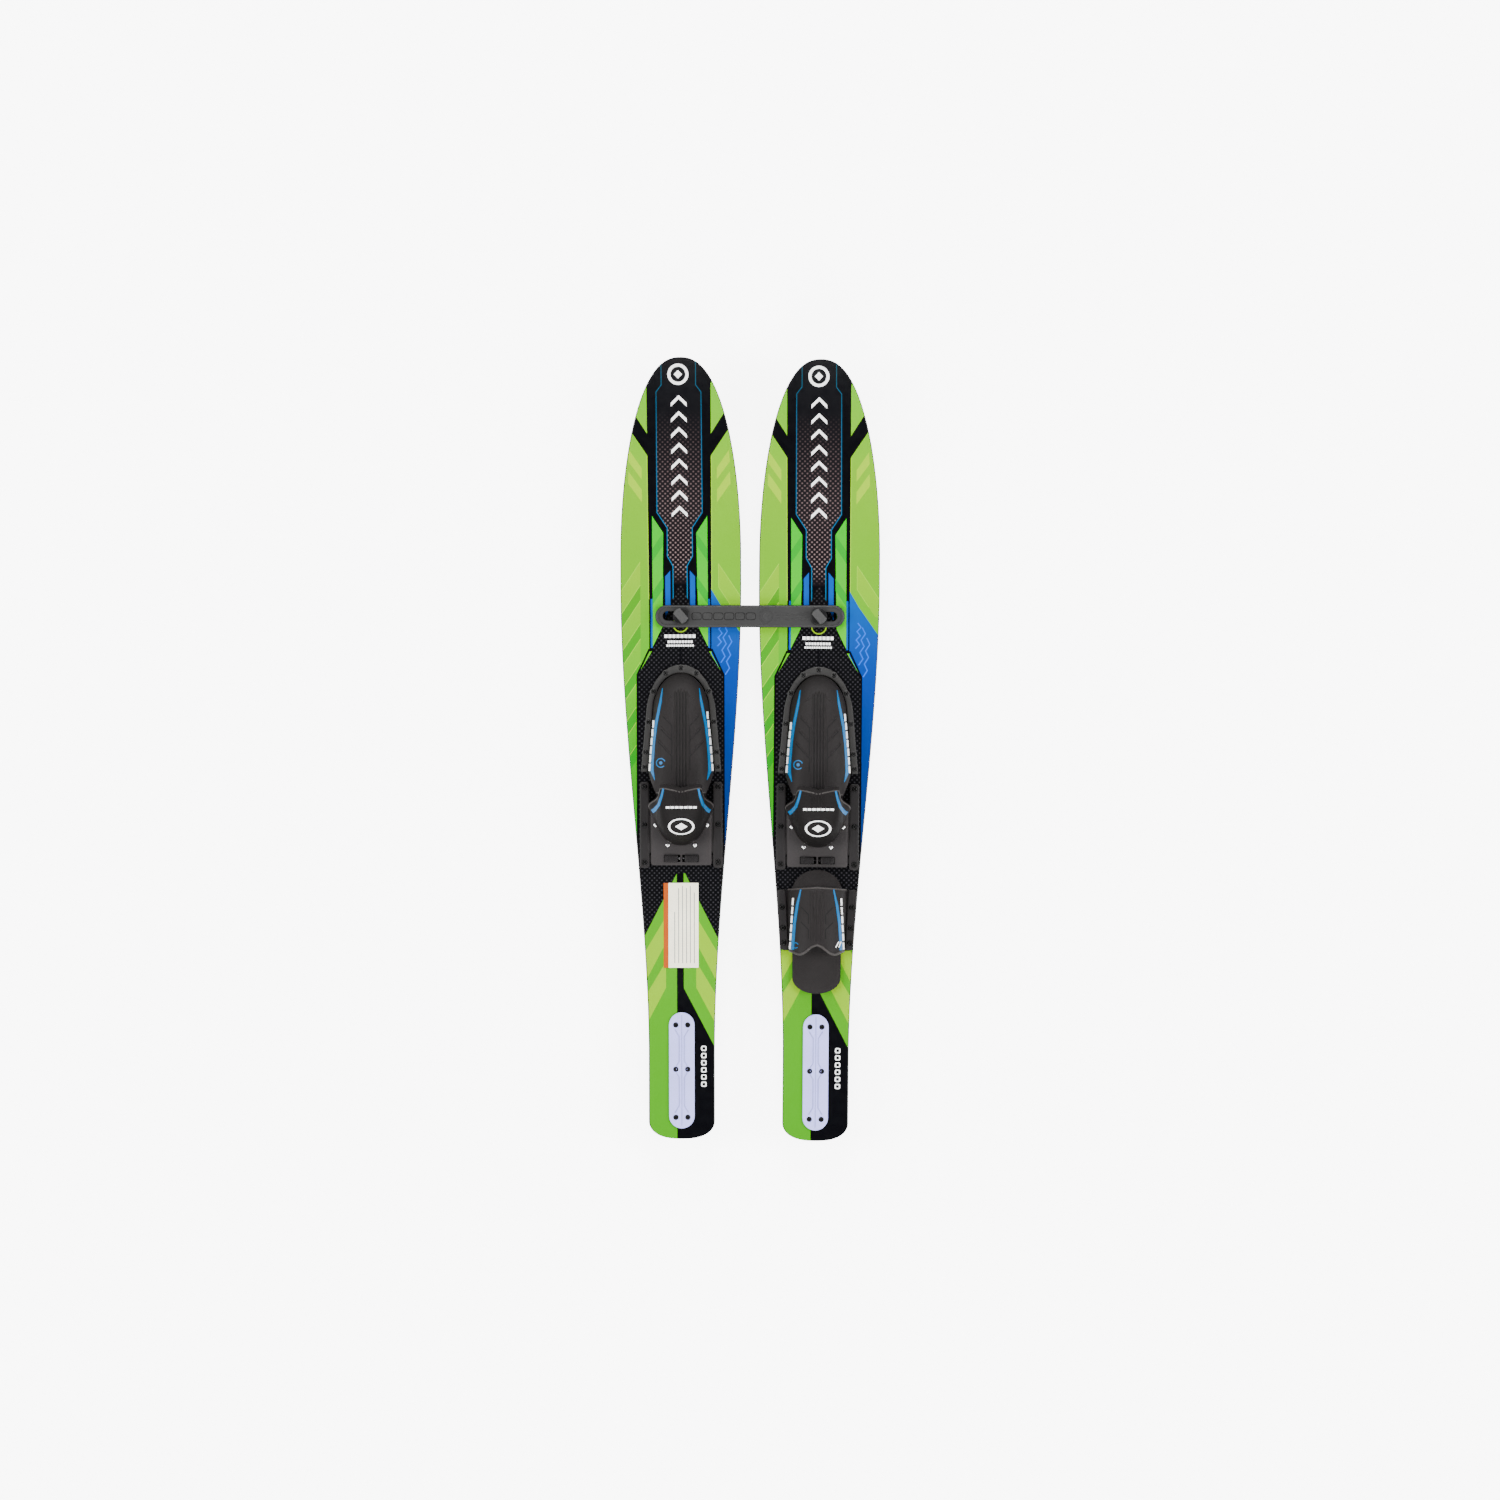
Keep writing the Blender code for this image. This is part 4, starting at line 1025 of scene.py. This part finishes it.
def build_spring(label, place):
    """The spring between the two latches, in two halves, each with a mesh of its own."""
    coils, r = 2.5, 1.5
    turns = [(t, 2 * math.pi * coils * t) for t in np.linspace(0, 1, 61)]
    for s, tag in SIDES:
        wire = [(s * (0.4 + 5.0 * t), LATCH_Y + r * math.cos(a), SPRING_HEIGHT + r * math.sin(a))
                for t, a in turns]
        piece = Piece(f"{label}_spring_{tag}", place).add(bead(wire, 0.28, 8), STEEL)
        nodes = [f"{label}_latch_spring"] if tag == "a" else []
        half = piece.finish(f"{label}_heel_carriage", *nodes, slot="spring_steel")
        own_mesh(half)


# ---- fin -----------------------------------------------------------------------------------
def build_fin(label, place):
    low, top = FIN_DECK + GAP, FIN_DECK + 3.8
    plan = swap(stadium(FIN_REAR + FIN_HALF, FIN_FRONT - FIN_HALF, 0, FIN_HALF, 24))
    piece = Piece(f"{label}_fin_piece", place).add(puck(plan, low, top, 1.6), FIN_PLASTIC)
    front, rear = FIN_FRONT - 15.5, FIN_REAR + 7.6
    side = [(front, low + 2), (front, -THICK)]
    side += [(front - 80 * (1 - math.cos(a)), -THICK - 45 * math.sin(a))
             for a in np.linspace(0.2, math.pi / 2, 9)]
    side += [(rear + 20, -DECK_HEIGHT), (rear + 8, -60), (rear, -THICK - 6), (rear, low + 2)]
    mid_y, mid_z = (front + rear) / 2, -30
    thin = [(mid_y + 0.95 * (y - mid_y), min(max(mid_z + 0.92 * (z - mid_z), -62), FIN_DECK + 1.2))
            for y, z in side]
    piece.add(loft([[(x, y, z) for y, z in ring]
                    for x, ring in ((-4, thin), (-2.2, side), (2.2, side), (4, thin))]), FIN_PLASTIC)
    rows = (-718.6, -796.5, -880.8)
    boss = [(0, top - 0.4), (6.6, top - 0.4), (6.6, top + 0.2), (5.9, top + 0.6), (0, top + 0.6)]
    for s in (-1, 1):
        path = sided(s, [(12, rows[0] - 8), (4.5, rows[0] - 20), (4.5, rows[1] + 14), (9, rows[1] + 7),
                         (9, rows[1] - 7), (4.5, rows[1] - 14), (4.5, rows[2] + 20), (12, rows[2] + 8)])
        # Raised beads in the darker lavender: painted shade along them.
        piece.add(bead(at(path, top - 0.1), 1.1, 8), FIN_BEAD_SHADE)
        for y in rows:
            piece.add(lathe(boss, 28, s * 10.5, y), FIN_PLASTIC)
            piece.add(screw(s * 10.5, y, top + 1.5, 4.8), SCREW_BLACK)
    keel = [(0, y) for y in np.linspace(FIN_FRONT - 5, FIN_REAR + 5, 12)]
    # The centre bead, darkened the same way: painted shade.
    piece.add(bead(at(keel, top - 0.1), 0.9, 8), FIN_BEAD_SHADE)
    piece.finish(f"{label}_ski", f"{label}_fin", slot="fin_plastic")


def build_label(label, place):
    """A plain care label behind the heel plate, with rows of grey bars in place of its words."""
    rear, front, top = -618, -469, 0.35
    piece = Piece(f"{label}_blank_label", place)
    for x0, x1, paper in ((-22.8, 29.9, LABEL), (-31.4, -22.8, LABEL_BAND)):
        piece.add(puck(block(x0, x1, rear, front, 1.0, 3), 0.02, top, 0.05), paper)
    for k, start in enumerate((-520, -478, -474, -478, -474, -486)):
        x = -12.5 + 6.9 * k
        bar = block(x, x + 1.2, rear + 8, start)
        piece.add(puck(bar, top - 0.05, top + 0.06, 0.02), LABEL_GREY)
    piece.finish(f"{label}_ski", slot="ski_graphic_laminate")


# ---- rear toe binding, right ski only ------------------------------------------------------
REAR_RAIL_LOW, REAR_RAIL_TOP = 2.1, 10.0


def rear_rail_x(y):
    return 61.1 - 0.056 * (-507.8 - y)


def rear_rail(s):
    plan = [(s * (rear_rail_x(y) + x), y) for x, y in block(-7.4, 7.4, -583, -477, 4.0, 8)]
    return puck(plan, REAR_RAIL_LOW, REAR_RAIL_TOP, 1.5)


def strap_section(t, n=44):
    """Closed section of the rear toe strap, t from its front edge to its rear edge."""
    ground, height = 52.5 - 4.0 * t, 48 + 20 * math.sin(t * math.pi / 2)
    power, wall, foot = 2 / (2.2 + 1.0 * t), 3.5, 13.0

    def rear(u):
        return -572.8 - 16.7 * smoothstep(u / 0.62) + 5.5 * smoothstep((u - 0.62) / 0.38)

    def arch(w, h, z0):
        points = []
        for phi in np.linspace(math.pi / 2, -math.pi / 2, n + 1):
            s, c = math.sin(phi), max(math.cos(phi), 0.0)
            y = (1 - t) * (-473 - 4 * abs(s)) + t * rear(abs(s) ** power)
            points.append((math.copysign(w * abs(s) ** power, s), y, z0 + h * c ** power))
        return points

    y = (1 - t) * -477 + t * rear(1)
    outer = arch(ground, height, 1.8)
    inner = arch(ground - wall, height - wall + 1.5, GAP)
    out = ground + foot - 3
    return [(out, y, GAP), (out, y, 1.8)] + outer + [(-out, y, 1.8), (-out, y, GAP)] + inner[::-1]


def build_rear_binding(place):
    body = "right_ski"
    spots = [(rear_rail_x(y), y) for y in (-507.8, -544.3, -570.3)]
    build_rails("right_rear", place, body, rear_rail, spots, REAR_RAIL_TOP)

    strap = loft([strap_section(t) for t in np.linspace(0, 1, 30)])
    on = Drape(strap)
    piece = Piece("right_rear_toe_strap_piece", place).add(strap, TOE_RUBBER)
    for k in range(5):
        x = 4.9 * (k - 2)
        piece.add(on.ridge([(x, -478), (x, -568)], 3.1, 1.0), TOE_RUBBER)
    for s in (-1, 1):
        stripe = [(28.7, -476.5, 2.2), (34.5, -503, 4.6), (39.3, -536, 5.0), (41.5, -566, 5.4),
                  (42.4, -582, 5.6)]
        piece.lay(on, strip(sided(s, stripe)), BLUE_PRINT, STRIPE_LIFT)
        for k in range(6):
            y = -581.0 + 15.4 * k
            x = 46.8 - 0.055 * (y + 581)
            dash = strip([(s * x, y), (s * (x - 0.8), y + 12.4)], 3.0)
            piece.lay(on, dash, WHITE_PRINT, MARK_LIFT)
        for y in (-520, -546):
            path = sided(s, [(15, y - 16), (15, y), (28, y + 13)])
            # A dark strip along each groove: painted shade.
            piece.lay(on, strip(path, 1.5), GROOVE_SHADE, GROOVE_SHADE_LIFT)
    # Rolled front and rear edges in the lighter rubber: painted highlight.
    for t, r in ((0, 1.6), (1, 2.2)):
        crown = strap_section(t)[6:43]
        piece.add(bead([(x, y, z - 0.8) for x, y, z in crown], r), RIM_HIGHLIGHT_RUBBER)
    piece.lay(on, strip(arc(-37, -574, 4.6, 20, 320, 16), 1.5), BLUE_PRINT, MARK_LIFT)
    for k in range(2):
        mark = strip([(33 + 5 * k, -577), (38 + 4 * k, -567)], 1.8)
        piece.lay(on, mark, WHITE_PRINT, MARK_LIFT)
    piece.finish(body, "right_rear_toe_strap", slot="binding_rubber")

    half_turn = np.linspace(0, math.pi, 28)
    ring = [(44 * math.cos(a), -482 + 40 * math.sin(a)) for a in half_turn]
    ring += [(-42.3 * math.cos(a), -632 - 28 * math.sin(a)) for a in half_turn]
    pad = Piece("right_rear_pad", place).add(puck(ring, GAP, 6.5, 2.0, steps=5), REAR_FOAM)
    pad.finish(body, "right_rear_toe_pad", slot="footbed_foam")


# ---- trainer bar and knobs -----------------------------------------------------------------
def build_bar():
    r, x = BAR_WIDTH / 2, (BAR_LENGTH - BAR_WIDTH) / 2
    low, high = GAP, GAP + BAR_THICK
    cuts = []
    for s in (-1, 1):
        ends = sorted((s * (SLOT_OUTER - SLOT_HALF), s * (SLOT_INNER + SLOT_HALF)))
        y = -s * RIGHT_DROP / 2
        cuts.append(puck(stadium(*ends, y, SLOT_HALF), -3, high + 4, 0.1))
        groove = [at(stadium(*ends, y, k), z) for k, z in
                  ((SLOT_HALF + 7.4, high + 1), (SLOT_HALF + 7.4, high - 0.7),
                   (SLOT_HALF + 6.2, high - 0.7), (SLOT_HALF + 6.2, high + 1))]
        cuts.append(loft(groove, loop=True))
    body = carved(puck(stadium(-x, x, 0, r, 32), low, high, 3.6, 1.0, 7), *cuts)
    piece = Piece("trainer_bar_piece", BAR_FRAME).add(body, BAR_PLASTIC, False)
    for k in range(6):
        x0 = -101.5 + 19.0 * k
        # A dark ring round each raised block, flush with the bar: painted shadow.
        rim = block(x0 - 0.9, x0 + 16.4, -6.5, 6.5, 3.6)
        piece.add(puck(rim, high - 0.3, high + 0.08, 0.05), BAR_SHADE)
        piece.add(puck(block(x0, x0 + 15.5, -5.6, 5.6, 3.0), high - 0.3, high + 0.5, 0.35), BAR_PLASTIC)
    ring = [at(circle(28, 0, q, 40), z) for q, z in
            ((12.3, high - 0.3), (12.3, high + 0.2), (11.9, high + 0.6), (10.4, high + 0.6),
             (10.0, high + 0.2), (10.0, high - 0.3))]
    piece.add(loft(ring, loop=True), BAR_PLASTIC)
    piece.add(lathe([(0, high - 0.3), (5.2, high - 0.3), (5.2, high + 0.3), (4.6, high + 0.6),
                     (0, high + 0.6)], 28, 28, 0), BAR_PLASTIC)
    for y in (-5.2, 0, 5.2):
        piece.add(puck(block(45, 103, y - 1.1, y + 1.1, 1.0), high - 0.3, high + 0.6, 0.4), BAR_PLASTIC)
    piece.finish("bar", "trainer_bar", slot="bar_plastic")


def build_knob(side, label):
    place, top = knob_frame(side), GAP + BAR_THICK
    z = top + 2.1
    profile = [(0, -12), (3, -12), (4, -11), (4, z), (13, z), (13.8, z + 0.5), (14, z + 1.2),
               (14, z + 4.2), (13.7, z + 5.0), (13, z + 5.4), (0, z + 5.4)]
    piece = Piece(f"{label}_knob_piece", place).add(lathe(profile, 48), KNOB_PLASTIC)
    r, half, turn = 13.6, 7.5, math.radians(-50)
    reach = math.degrees(math.asin(half / r))
    band = arc(0, 0, r, -reach, reach, 12) + arc(0, 0, r, 180 - reach, 180 + reach, 12)
    cos, sin = math.cos(turn), math.sin(turn)
    band = [(x * cos - y * sin, x * sin + y * cos) for x, y in band]
    piece.add(puck(band, z + 3, z + 14.5, 1.4), GRIP_PLASTIC)
    piece.finish(f"{label}_knob", f"{label}_knob", slot="knob_plastic")

    rings = [at(circle(0, 0, q, 40), h) for q, h in
             ((4.6, top + GAP), (12.5, top + GAP), (12.5, top + 1.4), (12.1, top + 1.8),
              (4.6, top + 1.8))]
    Piece(f"{label}_washer_piece", place).add(loft(rings, loop=True), BUSH_PLASTIC).finish(
        f"{label}_washer", f"{label}_washer", slot="bush_plastic")


def finish_frame_nodes():
    """Materials for the frame's own pieces that still show."""
    for name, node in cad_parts.items():
        for key, material in (("threaded_insert", BRASS), ("pivot_bush", BUSH_PLASTIC)):
            if name.endswith(key):
                node.data.materials.clear()
                node.data.materials.append(material)


# ---- assembly ------------------------------------------------------------------------------
sheet = topsheet()
for side, label in ((-1, "left"), (1, "right")):
    ski = ski_frame(side)
    build_board(label, ski, sheet)
    build_toe(label, ski)
    build_rails(label, ski, f"{label}_ski", heel_rail, RAIL_SCREWS, RAIL_TOP, heel_rail_groove)
    build_heel(label, ski)
    build_latches(label, ski)
    build_spring(label, ski)
    build_fin(label, ski)
    build_knob(side, label)
build_label("left", ski_frame(-1))
build_rear_binding(ski_frame(1))
build_bar()
finish_frame_nodes()


# ---- floor, light and camera ---------------------------------------------------------------
def build_stage():
    mesh = bpy.data.meshes.new("floor")
    half, height = 4, -0.002
    mesh.from_pydata(at(block(-half, half, -half, half), height), [], [(0, 1, 2, 3)])
    look = Look("floor_paper", specular=0.0)
    look.colour((0.9, 0.9, 0.9), 60.0, 0.004)
    look.rough(0.9, 0.02, 40.0)
    look.shader.inputs["Emission Color"].default_value = (1, 1, 1, 1)
    seen = look.add("ShaderNodeLightPath").outputs["Is Camera Ray"]
    look.join(look.shader.inputs["Emission Strength"], look.math("MULTIPLY", seen, 6.0))
    mesh.materials.append(look.material)
    floor = bpy.data.objects.new("floor", mesh)
    bpy.context.scene.collection.objects.link(floor)


def add_light(name, place, size, power):
    data = bpy.data.lights.new(name, "AREA")
    data.shape, data.size, data.energy = "SQUARE", size, power
    obj = bpy.data.objects.new(name, data)
    obj.location = place
    obj.rotation_euler = (-Vector(place)).to_track_quat("-Z", "Y").to_euler()
    bpy.context.scene.collection.objects.link(obj)


def build_light_and_camera():
    world = bpy.data.worlds.new("soft_room")
    world.use_nodes = True
    tree = world.node_tree
    strength = tree.nodes.new("ShaderNodeMath")
    strength.operation = "MULTIPLY_ADD"
    seen = tree.nodes.new("ShaderNodeLightPath").outputs["Is Camera Ray"]
    tree.links.new(strength.inputs[0], seen)
    backdrop, ambient = 7.5, 0.12
    strength.inputs[1].default_value, strength.inputs[2].default_value = backdrop, ambient
    tree.nodes["Background"].inputs[0].default_value = (1, 1, 1, 1)
    tree.links.new(tree.nodes["Background"].inputs[1], strength.outputs[0])
    bpy.context.scene.world = world
    reach, height = 4.2, 3.6
    for name, x, y in (("north", 0, 1), ("south", 0, -1), ("east", 1, 0), ("west", -1, 0)):
        add_light(name, (x * reach, y * reach, height), 2.6, 390)
    data = bpy.data.cameras.new("camera")
    data.lens, data.sensor_width = 200, 36
    field = 2.6355  # width of the picture at deck height
    camera = bpy.data.objects.new("camera", data)
    camera.location = (0, 0, DECK_HEIGHT * MM + field * data.lens / data.sensor_width)
    data.clip_end = 40
    bpy.context.scene.collection.objects.link(camera)
    bpy.context.scene.camera = camera


build_stage()
build_light_and_camera()
